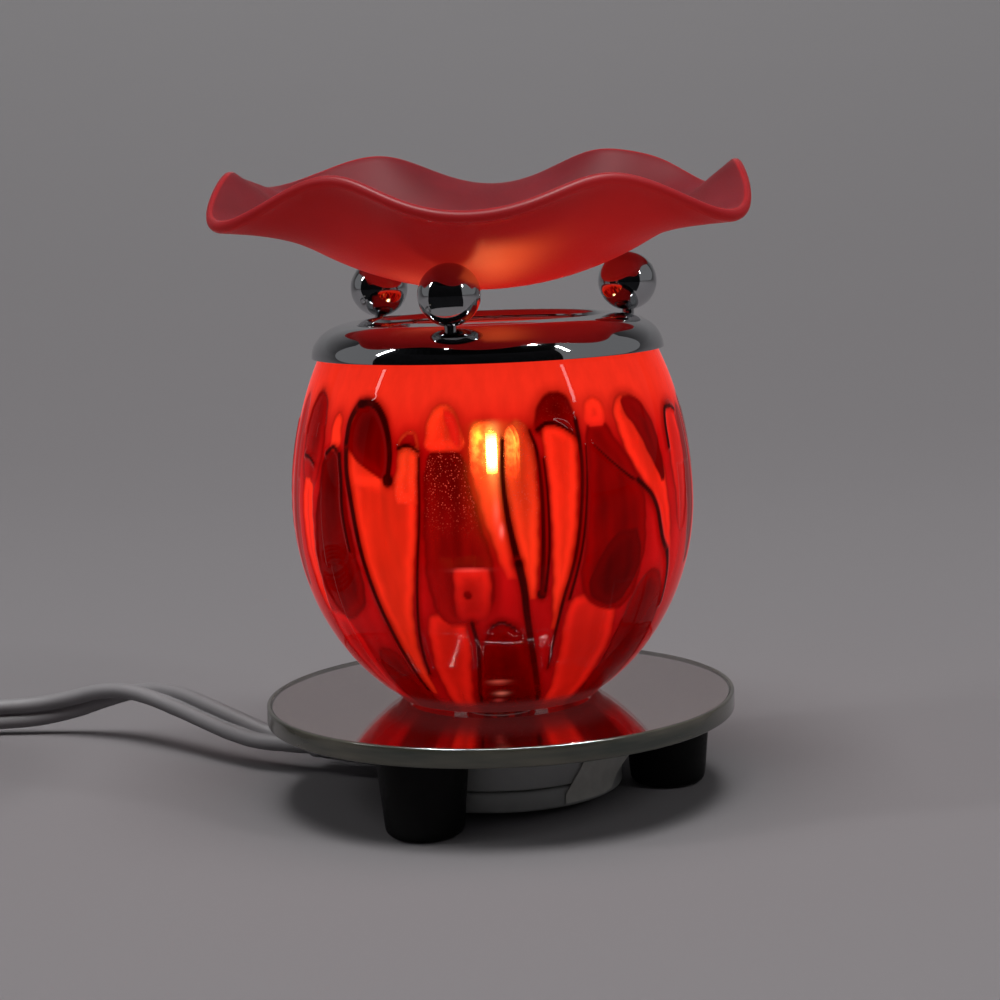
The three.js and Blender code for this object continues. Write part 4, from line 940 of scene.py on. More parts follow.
def shape_gap(angles, heights, rows, middle):
    """How far outside a shape's edge each point lies, in millimetres, and its place across the shape."""
    left, right = curved(rows[:, [1, 0]], 5), curved(rows[:, [2, 0]], 5)
    ring = np.vstack([left, right[::-1]])
    ring[:, 0] = round_the_jar(ring[:, 0], ring[:, 1], middle)
    x = round_the_jar(angles, heights, middle)
    x = x + 0.12 * np.sin(heights * 0.7 + middle) + 0.08 * np.sin(heights * 1.7 + 2 * middle)
    distance, _ = to_segments(x, heights, np.vstack([ring, ring[:1]]))
    return np.where(is_inside(x, heights, ring), -distance, distance), x


def shape_tone(tones, run, gap, x, z, middle):
    """A shape's colour from its top to its bottom: lighter near its edge, and mottled inside."""
    tone = np.array(tones[0]) * (1 - run) + np.array(tones[1]) * run
    mottle = np.sin(x * 0.7 + 0.16 * z + middle) * np.sin(0.21 * z - 0.5 * x + 2 * middle)
    mottle = mottle + 0.5 * np.sin(x * 1.6 - 0.30 * z) * np.sin(0.45 * z + 0.9 * x + middle)
    tone = tone * (1 + 0.22 * hump(gap, -1.3, 0.8) - 0.14 * smooth(1, 4, -gap))[:, None]
    depth = 0.06 if tones[0][0] > 0.6 else 0.22
    return tone * (1 + depth * mottle * smooth(0.5, 3, -gap))[:, None]


def paint_shape(paint, angles, heights, shape):
    """Lays one shape on the jar: its colour, its dark edge, its windows and bubbles, and its hollow."""
    rows, tones, outline, see, shine = shape
    rows = np.array(rows, float)
    middle = rows[:, 1:].mean()
    high, low = rows[0, 0], rows[-1, 0]
    reach = np.abs(sideways(rows[:, 1:], middle)).max() + 5
    near = (heights > low - 3) & (heights < high + 3) & (np.abs(sideways(angles, middle)) < reach)
    z = heights[near]
    gap, x = shape_gap(angles[near], z, rows, middle)
    inside = 1 - smooth(-0.3, 0.3, gap)
    run = np.clip((high - z) / (high - low), 0, 1)[:, None]
    glow = paint["glow"][near]
    glow = glow + inside[:, None] * (shape_tone(tones, run, gap, x, z, middle) - glow)
    clear = paint["clear"][near] * (1 - inside) + inside * (see[0] + (see[1] - see[0]) * run[:, 0])
    sparkle = paint["sparkle"][near] * (1 - inside) + inside * shine * smooth(*sparkle_heights, z)
    ends = smooth(low - 1, low + 5, z)
    edge = np.clip(1.5 * outline * hump(gap, 0, 0.40) * ends, 0, 0.9)
    glow = blended(glow, dark_red, np.clip(0.8 * outline * hump(gap, 0.7, 0.9) * ends, 0, 1))
    paint["glow"][near] = blended(glow, maroon, edge)
    paint["raised"][near] = np.minimum(paint["raised"][near], -window_depth * smooth(-0.4, 0.8, -gap))
    paint["clear"][near] = clear * (1 - edge)
    paint["sparkle"][near] = sparkle * (1 - edge)


def paint_line(paint, angles, heights, drip):
    """Lays one dark line on the jar, with a soft shade beside it and its thread standing proud."""
    points, first, last, knob = drip
    line = curved(points, 5)
    middle = line[:, 0].mean()
    reach = np.ptp(line[:, 0]) / 2 + 8
    near = (heights > line[:, 1].min() - 4) & (heights < line[:, 1].max() + 4)
    near &= np.abs(sideways(angles, middle)) < reach
    line[:, 0] = round_the_jar(line[:, 0], line[:, 1], middle)
    z = heights[near]
    x = round_the_jar(angles[near], z, middle)
    distance, along = to_segments(x, z, line)
    gap = distance - (first + (last - first) * along)
    if knob:
        gap = np.minimum(gap, np.hypot(x - line[-1][0], (z - line[-1][1]) / 1.15) - knob)
    core = 0.97 * (1 - smooth(-0.2, 0.25, gap))
    glow = blended(paint["glow"][near], dark_red, 0.5 * hump(gap, 0.1, 0.7))
    paint["glow"][near] = blended(glow, line_black, core)
    for key in ("clear", "sparkle"):
        paint[key][near] = paint[key][near] * (1 - core)
    thread = thread_height * hump(np.maximum(gap, 0), 0, 0.5)
    paint["raised"][near] = np.maximum(paint["raised"][near], thread)


def paint_jar(angles, heights):
    """Glow, see-through share, sparkle and relief for points on the jar."""
    upper = smooth(*band_heights, heights)
    strips = blended(np.array(low_red), strip_red, smooth(*strip_heights, heights))
    ground = blended(strips, band_red, upper)
    turns = np.radians(angles)
    ripple = 0.5 + 0.5 * np.sin(turns * 37 + 0.05 * heights) * np.sin(turns * 23 + 1)
    paint = {key: np.zeros(angles.shape) for key in ("clear", "sparkle", "raised")}
    paint["glow"] = ground * (1 - 0.25 * ripple * (1 - upper))[..., None]
    back_shapes, back_lines = round_the_back()
    for shape in back_shapes + front_shapes:
        paint_shape(paint, angles, heights, shape)
    # Painted glare of the bulb and painted highlights, added to the glow
    for place, height, wide, tall, colour in painted_glare_and_highlights:
        amount = hump(sideways(angles, place), 0, wide) * hump(heights, height, tall)
        amount = amount * (1 - smooth(*painted_glare_end_heights, heights))
        paint["glow"] = paint["glow"] + amount[..., None] * np.array(colour)
    for drip in back_lines + front_lines:
        paint_line(paint, angles, heights, drip)
    # Painted light: the glass glows brightest near the bulb's height and dimmer towards the foot
    fade = 0.84 + 0.20 * hump(heights, brightest_height, bright_reach)
    fade = fade * (0.52 + 0.48 * smooth(*light_rise_heights, heights))
    foot = 0.85 * (1 - smooth(*foot_shade_heights, heights))
    paint["glow"] = blended(paint["glow"] * fade[..., None], foot_red, foot)
    return paint


def jar_outline():
    """The jar's foot, outside and inside, as points of radius and height: fine where the drips show."""
    lowest = jar_foot + 1.1
    fine_low, fine_high = 44, 89
    outer_z = np.concatenate([np.linspace(lowest, fine_low, 34, endpoint=False),
                              np.linspace(fine_low, fine_high, 104, endpoint=False),
                              np.linspace(fine_high, jar_top, 9)])
    outer = np.stack([jar_radius(outer_z), outer_z], -1)
    inner_z = np.linspace(jar_top, lowest + 2.5, 12)
    slope = np.gradient(jar_radius(inner_z), inner_z)
    inner = np.stack([jar_radius(inner_z) - jar_wall * np.hypot(1, slope), inner_z], -1)
    bore = jar_foot_radius - jar_wall
    inner = inner[inner[:, 0] > bore]
    foot = [(bore, jar_foot + 0.6), (bore + 0.5, jar_foot), (jar_foot_radius - 0.5, jar_foot),
            (jar_foot_radius, jar_foot + 0.4)]
    return np.vstack([foot, outer, inner]), len(foot) + len(outer)


def make_jar():
    """The blown jar, with fine columns at the front, where its drips show, and plainer ones behind."""
    outline, within = jar_outline()
    front = np.arange(-front_edge_angle, front_edge_angle, front_column_step)
    behind = np.linspace(front_edge_angle, 360 - front_edge_angle, back_columns, endpoint=False)
    turns = np.radians(np.concatenate([front, behind]) - 90)
    radius, turn = np.meshgrid(outline[:, 0], turns, indexing="ij")
    sides = len(turns)
    height = np.repeat(outline[:, 1][:, None], sides, axis=1)
    paint = paint_jar((np.degrees(turn) + 90) % 360, height)
    raised = paint["raised"] * smooth(*relief_start_heights, height)
    raised = raised * (1 - smooth(*relief_end_heights, height))
    raised[within:] = 0
    radius = radius + raised
    points = np.stack([radius * np.cos(turn), radius * np.sin(turn), height], -1).reshape(-1, 3)
    faces = ring_faces(len(outline), sides, closed=True)
    piece = build("jar_lit", points, faces, "base", "jar_glass", ["jar"], sharp=50)
    paint["clear"][within:] = 1
    paint["glow"][within:] = 1
    write_attribute(piece.data, "glow", paint["glow"].reshape(-1, 3))
    write_attribute(piece.data, "clear", paint["clear"].ravel())
    write_attribute(piece.data, "sparkle", paint["sparkle"].ravel())


# Oil dish, and the light that the bulb throws on it through the cap's hole

def dish_rim_lift(angle):
    degrees = math.degrees(angle)
    return sum(lift * hump(sideways(degrees, place), 0, spread) for place, lift, spread in dish_rim_lifts)


def dish_middle(angle, steps=22):
    """The middle of the dish's wall at one angle: the round bowl, then the flare out to the rim."""
    wave = math.cos(dish_waves * (angle - math.radians(dish_peak_angle)))
    middle = dish_bowl_radius - dish_wall / 2
    reach = math.asin(dish_bowl_reach / dish_bowl_radius)
    outs = np.linspace(0, reach, steps + 1)
    bowl = np.stack([middle * np.sin(outs), dish_bowl_radius - middle * np.cos(outs)], -1)
    start = bowl[-1]
    rim_height = dish_rim_height + dish_wave_height * wave + dish_rim_lift(angle)
    end = np.array([dish_rim_radius - dish_wave_reach * wave, rim_height])
    pull = 0.36 * np.linalg.norm(end - start)
    lean = math.radians(dish_flare_angle + dish_flare_swing * wave)
    first = start + pull * np.array([math.cos(reach), math.sin(reach)])
    second = end - pull * np.array([math.cos(lean), math.sin(lean)])
    t = np.linspace(0, 1, steps + 1)[1:, None]
    u = 1 - t
    flare = u ** 3 * start + 3 * u ** 2 * t * first + 3 * u * t * t * second + t ** 3 * end
    return np.vstack([bowl, flare])


def beside(line, distance):
    """A line at an even distance on the left of another."""
    step = np.gradient(line, axis=0)
    size = np.linalg.norm(step, axis=1, keepdims=True)
    return line + distance * np.stack([-step[:, 1], step[:, 0]], -1) / size


def dish_slice(angle):
    """The outline of the wall at one angle: its underside, its round lip, and its inside."""
    middle = dish_middle(angle)
    half = dish_wall / 2
    under, upper = beside(middle, -half), beside(middle, half)
    under[0], upper[0] = (0, 0), (0, dish_wall)
    tip, inward = middle[-1], middle[-2]
    lean = math.atan2(tip[1] - inward[1], tip[0] - inward[0])
    bead = [tip + half * np.array([math.cos(lean + t), math.sin(lean + t)])
            for t in np.radians(np.linspace(-75, 75, lip_points))]
    return np.vstack([under, bead, upper[::-1]])


def lamp_light(points):
    """How strongly the filament lights each point, through the hole and past the balls."""
    source = np.array([0, 0, filament_height])
    ray = points - source
    distance = np.linalg.norm(ray, axis=1)
    hole_height = lid_top - lid_lip - source[2]
    at_hole = np.hypot(ray[:, 0], ray[:, 1]) * hole_height / np.maximum(ray[:, 2], 1)
    light = 1 - smooth(lid_hole_radius - hole_edge_in, lid_hole_radius + hole_edge_out, at_hole)
    towards = ray / distance[:, None]
    for angle in ball_angles.values():
        ball = at_angle(ball_circle_radius, angle, ball_height) - source
        along = towards @ ball
        miss = np.linalg.norm(ball - along[:, None] * towards, axis=1)
        shade = 1 - smooth(ball_radius - ball_edge_in, ball_radius + ball_edge_out, miss)
        light = light * (1 - ball_shadow * (shade * (distance > along)))
    return light * (full_light_distance / distance) ** 2


def spot(around, out, place):
    """A soft spot on the dish. Its place: angle, reach in degrees, distance out, reach out."""
    angle, wide, middle, deep = place
    return hump(sideways(around, angle), 0, wide) * hump(out, middle, deep)


def dish_glow(points, around, out, is_upper):
    """The bulb's light in the frosted glass: a low red glow, a hot spot and a paler one."""
    light = lamp_light(points)
    low = lit_share * light + bowl_share * hump(out, bowl_glow_out, bowl_glow_reach)
    low = low + right_share * spot(around, out, right_glow) + even_share
    hot = hot_share * light * spot(around, out, hot_spot)
    pale = pale_share * light * spot(around, out, left_spot)
    glow = sum(share[:, None] * np.array(colour)
               for share, colour in ((low, glow_red), (hot, hot_orange), (pale, pale_orange)))
    return glow * np.where(is_upper, upper_side_share, 1.0)[:, None]


def dish_lip(order, steps):
    """How far each point belongs to the polished lip and its painted highlight lines, from its place
    along the outline.
    """
    across_tip = np.abs(order - steps - 4)
    from_tip = np.minimum(np.abs(order - steps + 0.5), np.abs(order - steps - lip_points + 0.5))
    bead = np.where(across_tip >= 3, 1.0, 0.25)
    return np.where(across_tip <= 4, bead, 0.4 * hump(from_tip, 0, 1.6))


def make_dish():
    """The dish from slices round its own axis, tilted as it sits, with its light and its lip."""
    sides = 360
    angles = np.linspace(0, 2 * math.pi, sides, endpoint=False)
    slices = np.array([dish_slice(angle) for angle in angles])
    count = slices.shape[1]
    spin = angles[:, None]
    local = np.stack([slices[..., 0] * np.cos(spin), slices[..., 0] * np.sin(spin),
                      slices[..., 1] - dish_bowl_radius], -1).reshape(-1, 3)
    tilt = np.array(Matrix.Rotation(math.radians(dish_tilt), 3, "X"))
    points = local @ tilt.T + np.array([0, 0, dish_pivot])
    faces = []
    for here, there in ((i * count, (i + 1) % sides * count) for i in range(sides)):
        faces += [(here + j, there + j, there + j + 1, here + j + 1) for j in range(count - 1)]
    piece = build("oil_dish_frosted", points, faces, "dish", "dish_glass", ["oil_dish"], sharp=60)
    order = np.tile(np.arange(count), sides)
    steps = (count - lip_points) // 2
    around, out = np.degrees(np.repeat(angles, count)), np.hypot(local[:, 0], local[:, 1])
    write_attribute(piece.data, "lamp_light", dish_glow(points, around, out, order >= steps + lip_points))
    write_attribute(piece.data, "lip", dish_lip(order, steps))
    weld(piece.data)
    shade_smooth(piece.data)


# Chrome cap and balls

def make_lid():
    """The pressed cap: its hole with a rolled lip, its shoulder, and the same again inside."""
    shoulder = (lid_radius - lid_shoulder_width, lid_rim)
    lip = (lid_hole_radius + lid_lip, lid_top - lid_lip)
    inner_lip = lid_hole_radius + lid_wall
    outline = [(lid_hole_radius, lip[1] - lid_lip_drop)]
    outline += arc(lip, lid_lip, lid_lip, 180, 90, 12)
    outline += arc(shoulder, lid_shoulder_width, lid_shoulder_height, 90, 0, 40)
    outline += arc(shoulder, lid_shoulder_width - lid_wall, lid_shoulder_height - lid_wall, 0, 90, 24)
    outline += [(lip[0], lid_top - lid_wall), (inner_lip, lip[1]), (inner_lip, lip[1] - lid_lip_drop)]
    return turned("lid_chrome", outline, 192, "cap", "chrome", ["lid"], sharp=50)


def make_balls():
    """The balls, each with the bore that its screw comes up through."""
    bore, bore_top = 1.6, ball_height - 1.25
    start = math.degrees(math.asin(bore / ball_radius)) - 90
    for name, angle in ball_angles.items():
        x, y, _ = at_angle(ball_circle_radius, angle)
        outline = [(0, bore_top), (bore, bore_top)]
        outline += arc((0, ball_height), ball_radius, ball_radius, start, 90, 48)
        outline[-1] = (0, outline[-1][1])
        turned(f"ball_{name}_chrome", outline, 64, "cap", "chrome", [f"ball_{name}"], (x, y), sharp=50)


# Base plate, feet and wiring box

def make_plate():
    """Clear glass over the silver of the mirror, a backing below, and the ground edge round all three."""
    film, silver, recess = 0.02, 0.3, 0.3
    middle = plate_top - mirror_depth
    rim = plate_radius - plate_bevel - 0.4
    lap, skirt, inside = rim + film, rim - 0.25, rim - recess
    back_top = middle - silver - 2 * film
    clear = soften([(plate_bore, middle + film), (rim, middle + film), (rim, plate_top),
                    (plate_bore, plate_top), (plate_bore, middle + 0.03)], 0.05, 1)
    edge = soften([(skirt, plate_bottom + 0.6), (skirt, plate_bottom), (plate_radius, plate_bottom),
                   (plate_radius, plate_top), (lap, plate_top), (lap, middle),
                   (skirt, plate_bottom + 0.62)], plate_bevel, 4)
    layers = [
        ("plate_glass", clear, "plate_clear", ["base_plate"]),
        ("plate_mirror", block(plate_bore, inside, middle - silver, middle), "mirror_glass", ()),
        ("plate_backing", block(plate_bore, inside, plate_bottom, back_top), "mirror_back", ()),
        ("plate_edge", edge, "plate_edge", ()),
    ]
    for name, outline, finish, stands_for in layers:
        turned(name, outline, 200, "base", finish, stands_for)


def make_feet():
    """The feet, tapered, with rounded edges."""
    corner = 2.0
    corners = [(corner, 0), (foot_bottom_radius, 0), (foot_top_radius, foot_height - 0.2),
               (foot_top_radius, foot_height), (corner, foot_height)]
    outline = [(0, 0)] + soften(corners, corner, 6) + [(0, foot_height)]
    for number, angle in enumerate(foot_angles, 1):
        x, y, _ = at_angle(foot_circle_radius, angle)
        turned(f"foot_{number}_rubber", outline, 64, "base", "foot_plastic", [f"foot_{number}"], (x, y))


def make_box():
    """The box under the plate: a cover below the seam, and a shell above it."""
    floor_top, rib = box_bottom + box_wall, box_radius - 2.2
    cover = soften([(0, box_bottom), (3, box_bottom), (box_radius, box_bottom), (box_radius, box_seam),
                    (rib, box_seam), (rib, floor_top), (3, floor_top)], 0.8, 4)
    low, ceiling, side = box_seam + box_seam_gap, box_top - 2, box_radius - 2
    shell = soften([(box_bore, ceiling), (6.0, ceiling), (side, ceiling), (side, low), (box_radius, low),
                    (box_radius, box_top), (6.0, box_top)], 0.35, 3)
    outlines = {"box_cover": cover + [(0, floor_top)], "box_shell": shell + [(box_bore, box_top)]}
    for name, outline in outlines.items():
        turned(f"{name}_moulded", outline, 128, "base", "box_plastic", [name], sharp=50)


def make_label():
    """A bare paper label round the box's side, with one corner lifted."""
    columns, rows = 40, 16
    foot = box_bottom + 0.9
    first, last = label_angles
    angles = np.linspace(first, last, columns)
    low = np.interp(angles, [first, -36, -31, -26, last], [0, 0, 0.4, 3.4, 6.7])
    high = np.interp(angles, [first, -41, -36, -31, last], [2.0, 12.9, 13.0, 12.2, 7.2])
    past = np.maximum(0.0, angles - label_peel_angle) / (last - label_peel_angle)
    peel = label_peel * past ** 2
    points = [at_angle(box_radius + layer + lift, angle, foot + bottom + (top - bottom) * share)
              for layer in (label_gap, label_gap + label_thickness)
              for angle, bottom, top, lift in zip(angles, low, high, peel)
              for share in np.linspace(0, 1, rows)]
    faces = []
    half = columns * rows
    for i in range(columns - 1):
        for j in range(rows - 1):
            a, b = i * rows + j, (i + 1) * rows + j
            faces.append((a + 1, b + 1, b, a))
            faces.append((half + a, half + b, half + b + 1, half + a + 1))
    border = [i * rows for i in range(columns)] + [(columns - 1) * rows + j for j in range(1, rows)]
    border += [i * rows + rows - 1 for i in range(columns - 2, -1, -1)] + list(range(rows - 2, 0, -1))
    faces += [(a, b, half + b, half + a) for a, b in zip(border, border[1:] + border[:1])]
    build("label_bare", points, faces, "base", "label_paper", ["label"], sharp=50, sealed=True)


# Bulb, and the nipple that carries its holder

def make_bulb():
    """The glass of the bulb, with a round top and a pinched foot."""
    dome = (0, bulb_top - bulb_radius)
    inner = bulb_radius - bulb_wall
    foot = [(inner, 3), (3.8, 1.0), (3.3, 0), (4.1, 0), (4.9, 0.7), (bulb_radius, 2.6)]
    outline = arc(dome, inner, inner, 90, 0, 16)
    outline += [(radius, bulb_bottom + height) for radius, height in foot]
    outline += arc(dome, bulb_radius, bulb_radius, 0, 90, 16)
    outline[0], outline[-1] = (0, outline[0][1]), (0, outline[-1][1])
    turned("bulb_glass_lit", outline, 64, "bulb", "bulb_quartz", ["bulb_glass"], sharp=50)


def swept_wire(name, line, finish, stands_for=(), sides=8):
    """A round wire of the bulb along a line of points."""
    line = np.asarray(line, float)
    way = np.gradient(line, axis=0)
    way /= np.linalg.norm(way, axis=1, keepdims=True)
    across = np.cross(way[0], (0.0, 1.0, 0.0))
    points = []
    for place, forward in zip(line, way):
        across = across - forward * (across @ forward)
        across /= np.linalg.norm(across)
        other = np.cross(forward, across)
        for turn in np.linspace(0, 2 * math.pi, sides, endpoint=False):
            points.append(place + wire_radius * (math.cos(turn) * across + math.sin(turn) * other))
    faces = tube_faces(len(line), sides)
    build(name, points, faces, "bulb", finish, stands_for, sharp=60)


def make_filament(steps_per_turn=24):
    """A coil of wire up the middle of the bulb, held by its two leads."""
    low, high = filament_height - filament_length / 2, filament_height + filament_length / 2
    share = np.linspace(0, 1, filament_turns * steps_per_turn + 1)
    angle = math.pi + 2 * math.pi * (filament_turns - 0.5) * share
    coil = [filament_radius * np.cos(angle), filament_radius * np.sin(angle), low + (high - low) * share]
    swept_wire("filament_coil", np.stack(coil, -1), "filament_wire", ["filament"])
    inward = lead_reach - filament_radius
    beside_coil, halfway = filament_radius + 0.2, (filament_radius + lead_reach) / 2
    first = [(-lead_reach, 0, lead_foot), (-lead_reach, 0, 60), (-lead_reach, 0, low - inward),
             (-beside_coil, 0, low - 0.4)]
    last = [(beside_coil, 0, high + 0.4), (halfway, 0, high + inward / 2),
            (lead_reach, 0, high - inward / 2), (lead_reach, 0, 65), (lead_reach, 0, lead_foot)]
    swept_wire("filament_lead_1", curved(first), "filament_lead")
    swept_wire("filament_lead_2", curved(last), "filament_lead")


def thread_outline(outer, inner, bottom, top, pitch=1.0):
    """Grooves at the pitch of the thread."""
    outline = [(inner, bottom), (outer - 0.5, bottom)]
    height = bottom + 0.5
    while height < top - pitch:
        outline += [(outer - 0.45, height), (outer, height + 0.35 * pitch), (outer, height + 0.5 * pitch)]
        height += pitch
    return outline + [(outer - 0.5, top), (inner, top)]


def make_nut(name, bottom, height, flats, node):
    """A hex nut, with the corners of its faces trimmed as by a lathe."""
    sides, top = 72, bottom + height
    outlines = []
    for turn in np.linspace(0, 360, sides, endpoint=False):
        corner = flats / 2 / math.cos(math.radians(turn % 60 - 30))
        trim = min(0.45 * (corner - flats / 2) + 0.15, 0.9)
        edge = min(corner, flats / 2 + 0.15)
        outlines.append([(nut_bore, bottom), (edge, bottom), (corner, bottom + trim),
                         (corner, top - trim), (edge, top), (nut_bore, top)])
    turns = np.linspace(0, 2 * math.pi, sides, endpoint=False)
    points = [(r * math.cos(turn), r * math.sin(turn), z)
              for ring in zip(*outlines) for turn, (r, z) in zip(turns, ring)]
    faces = ring_faces(len(outlines[0]), sides, closed=True)
    build(name, points, faces, "base", "chrome", [node], sharp=25, sealed=True)


def make_nipple_stack():
    """The threaded nipple, and the washer and nuts on it."""
    thread = thread_outline(nipple_radius, nipple_bore, nipple_bottom, nipple_top)
    turned("nipple_threaded", thread, 64, "base", "chrome", ["nipple"], sharp=60)
    washer = ring_outline(nut_bore, washer_radius, washer_bottom, washer_bottom + washer_thickness, 0.4)
    turned("washer_chrome", washer, 96, "base", "chrome", ["washer"])
    collar = ring_outline(nut_bore, collar_radius, collar_bottom, collar_bottom + nut_height, 0.6)
    turned("collar_nut_chrome", collar, 96, "base", "chrome", ["collar_nut"])
    make_nut("top_nut_chrome", top_nut_bottom, nut_height, nut_flats, "top_nut")


# Cord, coil, tail and plug

def centripetal(a, b, c, d, share):
    """A point between b and c on a smooth curve through four points."""
    first, second, third = (max(np.linalg.norm(q - p) ** 0.5, 1e-6) for p, q in ((a, b), (b, c), (c, d)))
    slope_b = ((b - a) / first - (c - a) / (first + second) + (c - b) / second) * second
    slope_c = ((c - b) / second - (d - b) / (second + third) + (d - c) / third) * second
    t = share
    return ((2 * t ** 3 - 3 * t * t + 1) * b + (t ** 3 - 2 * t * t + t) * slope_b
            + (3 * t * t - 2 * t ** 3) * c + (t ** 3 - t * t) * slope_c)


def through(points, step=1.6):
    """A smooth line through points of place and roll, with even steps along it."""
    points = np.array(points, float)
    first = np.append(2 * points[0, :3] - points[1, :3], points[0, 3])
    last = np.append(2 * points[-1, :3] - points[-2, :3], points[-1, 3])
    padded = np.vstack([first, points, last])
    line = []
    for a, b, c, d in zip(padded, padded[1:], padded[2:], padded[3:]):
        steps = max(2, int(round(np.linalg.norm(c[:3] - b[:3]) / step)))
        for t in np.linspace(0, 1, steps, endpoint=False):
            place = centripetal(a[:3], b[:3], c[:3], d[:3], t)
            line.append(np.append(place, b[3] + (c[3] - b[3]) * t))
    line.append(points[-1])
    return np.array(line)


def coil_line(steps_per_turn=72):
    """The coil in two layers: inward along the floor, up, and outward again on top."""
    steps = round(2 * coil_turns_each_way * steps_per_turn)
    turns = np.linspace(-coil_turns_each_way, coil_turns_each_way, steps + 1)
    angle = np.radians(coil_start_angle + 360 * (turns + coil_turns_each_way))
    radius = coil_inner_radius + coil_turn_pitch * np.abs(turns)
    lift = smooth(-0.25, 0.25, turns)
    line = np.stack([coil_centre[0] + radius * np.cos(angle), coil_centre[1] + radius * np.sin(angle),
                     coil_low + lift * coil_layer, np.zeros(steps + 1)], -1)
    away = np.array([cord_width, 0, 0, 0])
    onward = np.array([0, -cord_width, 0, 0])
    return np.vstack([line[0] + away, line, line[-1] + onward])


def cord_centre():
    """The middle of the cord with its roll: the run that shows, the coil, the tail down to the plug."""
    coil = coil_line()
    exit_point = at_angle(cord_start_out, cord_exit_angle, cord_exit_height)
    start, end = coil[0], coil[-1]
    settle = start + np.array([cord_width, 0, 0, 0])
    seat = start + np.array([seat_gap, 0, 0, 0])
    run = through([(*exit_point, 90), *free_route, (*settle[:3], 180), (*seat[:3], 180)])
    coil[:, 3] = 180
    below = end[2] - plug_axis_height
    tail = through([(end[0], end[1] - seat_gap - along, plug_axis_height + below * share, roll + 180)
                    for along, share, roll in tail_drop])
    return np.vstack([run, coil, tail])


def twin_section(steps=9):
    """Two round wires side by side, joined by a web at the bottom of a groove on both sides."""
    half = cord_thickness / 2
    meet = math.asin(cord_web / 2 / half)
    turns = np.linspace(0, math.pi - meet, steps)
    upper = [(half * math.sin(t), half + half * math.cos(t)) for t in turns]
    side = upper + [(across, -along) for across, along in reversed(upper)]
    return side + [(-across, along) for across, along in reversed(side[1:-1])]


def make_cord():
    """The cord as one tube. Gives the piece and the middle of the tube in metres."""
    line = cord_centre()
    centre = line[:, :3]
    tangent = np.gradient(centre, axis=0)
    tangent /= np.linalg.norm(tangent, axis=1, keepdims=True)
    section = twin_section()
    points = []
    for place, way, roll in zip(centre, tangent, np.radians(line[:, 3])):
        up = np.array([0, 0, 1.0]) - way * way[2]
        up /= np.linalg.norm(up)
        side = np.cross(up, way)
        wide = up * math.cos(roll) + np.cross(way, up) * math.sin(roll)
        flat = side * math.cos(roll) + np.cross(way, side) * math.sin(roll)
        points.extend(place + across * flat + along * wide for across, along in section)
    faces = tube_faces(len(centre), len(section))
    stands_for = ["cord_run", "cord_coil", "cord_tail"]
    cord = build("mains_cord", points, faces, "base", "cord_jacket", stands_for, sharp=55)
    return cord, (centre + np.array([0, -lamp_drift, 0])) * millimetre


def make_tie():
    """The strap that holds the turns of the coil together."""
    near = coil_inner_radius - cord_thickness / 2
    far = coil_inner_radius + 2 * coil_turn_pitch + cord_thickness / 2
    low, high = coil_low - cord_width / 2, coil_low + coil_layer + cord_width / 2
    rings = []
    for proud in (tie_clearance, tie_clearance + tie_thickness):
        straight = ((far - near) / 2 + proud - tie_corner, (high - low) / 2 + proud - tie_corner)
        ring = []
        for x, z, start in ((1, 1, 0), (-1, 1, 90), (-1, -1, 180), (1, -1, 270)):
            corner = ((near + far) / 2 + x * straight[0], (low + high) / 2 + z * straight[1])
            ring += arc(corner, tie_corner, tie_corner, start, start + 90, 6)
        rings.append(ring)
    out, onward = at_angle(1, tie_angle)[:2], at_angle(1, tie_angle + 90)[:2]
    points = []
    for inner, outer in zip(*rings):
        for (reach, height), side in ((inner, -1), (inner, 1), (outer, 1), (outer, -1)):
            x, y = np.array(coil_centre) + out * reach + onward * side * tie_width / 2
            points.append((x, y, height))
    faces = ring_faces(len(rings[0]), 4, closed=True)
    return build("coil_tie", points, faces, "base", "foot_plastic", sealed=True)


def loft(name, stations, node, place, turn, corners=40, squareness=0.6):
    """A rounded solid through sections along +X, each (along, width, height), then placed and turned."""
    spin = math.radians(turn)
    points = []
    for along, width, height in stations:
        for angle in (2 * math.pi * (k + 0.5) / corners for k in range(corners)):
            y = width / 2 * math.copysign(abs(math.cos(angle)) ** squareness, math.cos(angle))
            z = height / 2 * math.copysign(abs(math.sin(angle)) ** squareness, math.sin(angle))
            points.append((place[0] + along * math.cos(spin) - y * math.sin(spin),
                           place[1] + along * math.sin(spin) + y * math.cos(spin), place[2] + z))
    faces = tube_faces(len(stations), corners)
    return build(name, points, faces, "base", "cord_jacket", [node], sharp=45, sealed=True)


def make_relief():
    """The tapered strain relief, ribbed along its length."""
    start = relief_start_out + 3
    stations = [(20.9, 12, 5.4), (22.4, 12, 5.4), (22.4, 8.6, 5.0), (relief_start_out, 8.6, 5.0),
                (relief_start_out, 9.8, 5.8), (relief_start_out + 0.5, *relief_size),
                (start, *relief_size)]
    pitch = (relief_tip_out - 0.6 - start) / relief_ribs
    for k in range(relief_ribs):
        for share, dip in ((0.06, 0.0), (0.12, 0.5), (0.34, 0.5), (0.40, 0.0), (1.0, 0.0)):
            along = start + (k + share) * pitch
            run = (along - start) / (relief_tip_out - start)
            stations.append((along, relief_size[0] - 1.9 * run - dip, relief_size[1] - 1.6 * run - dip))
    stations.append((relief_tip_out, 8.0, 4.3))
    loft("strain_relief_ribbed", stations, "strain_relief", (0, 0, cord_exit_height), cord_exit_angle)


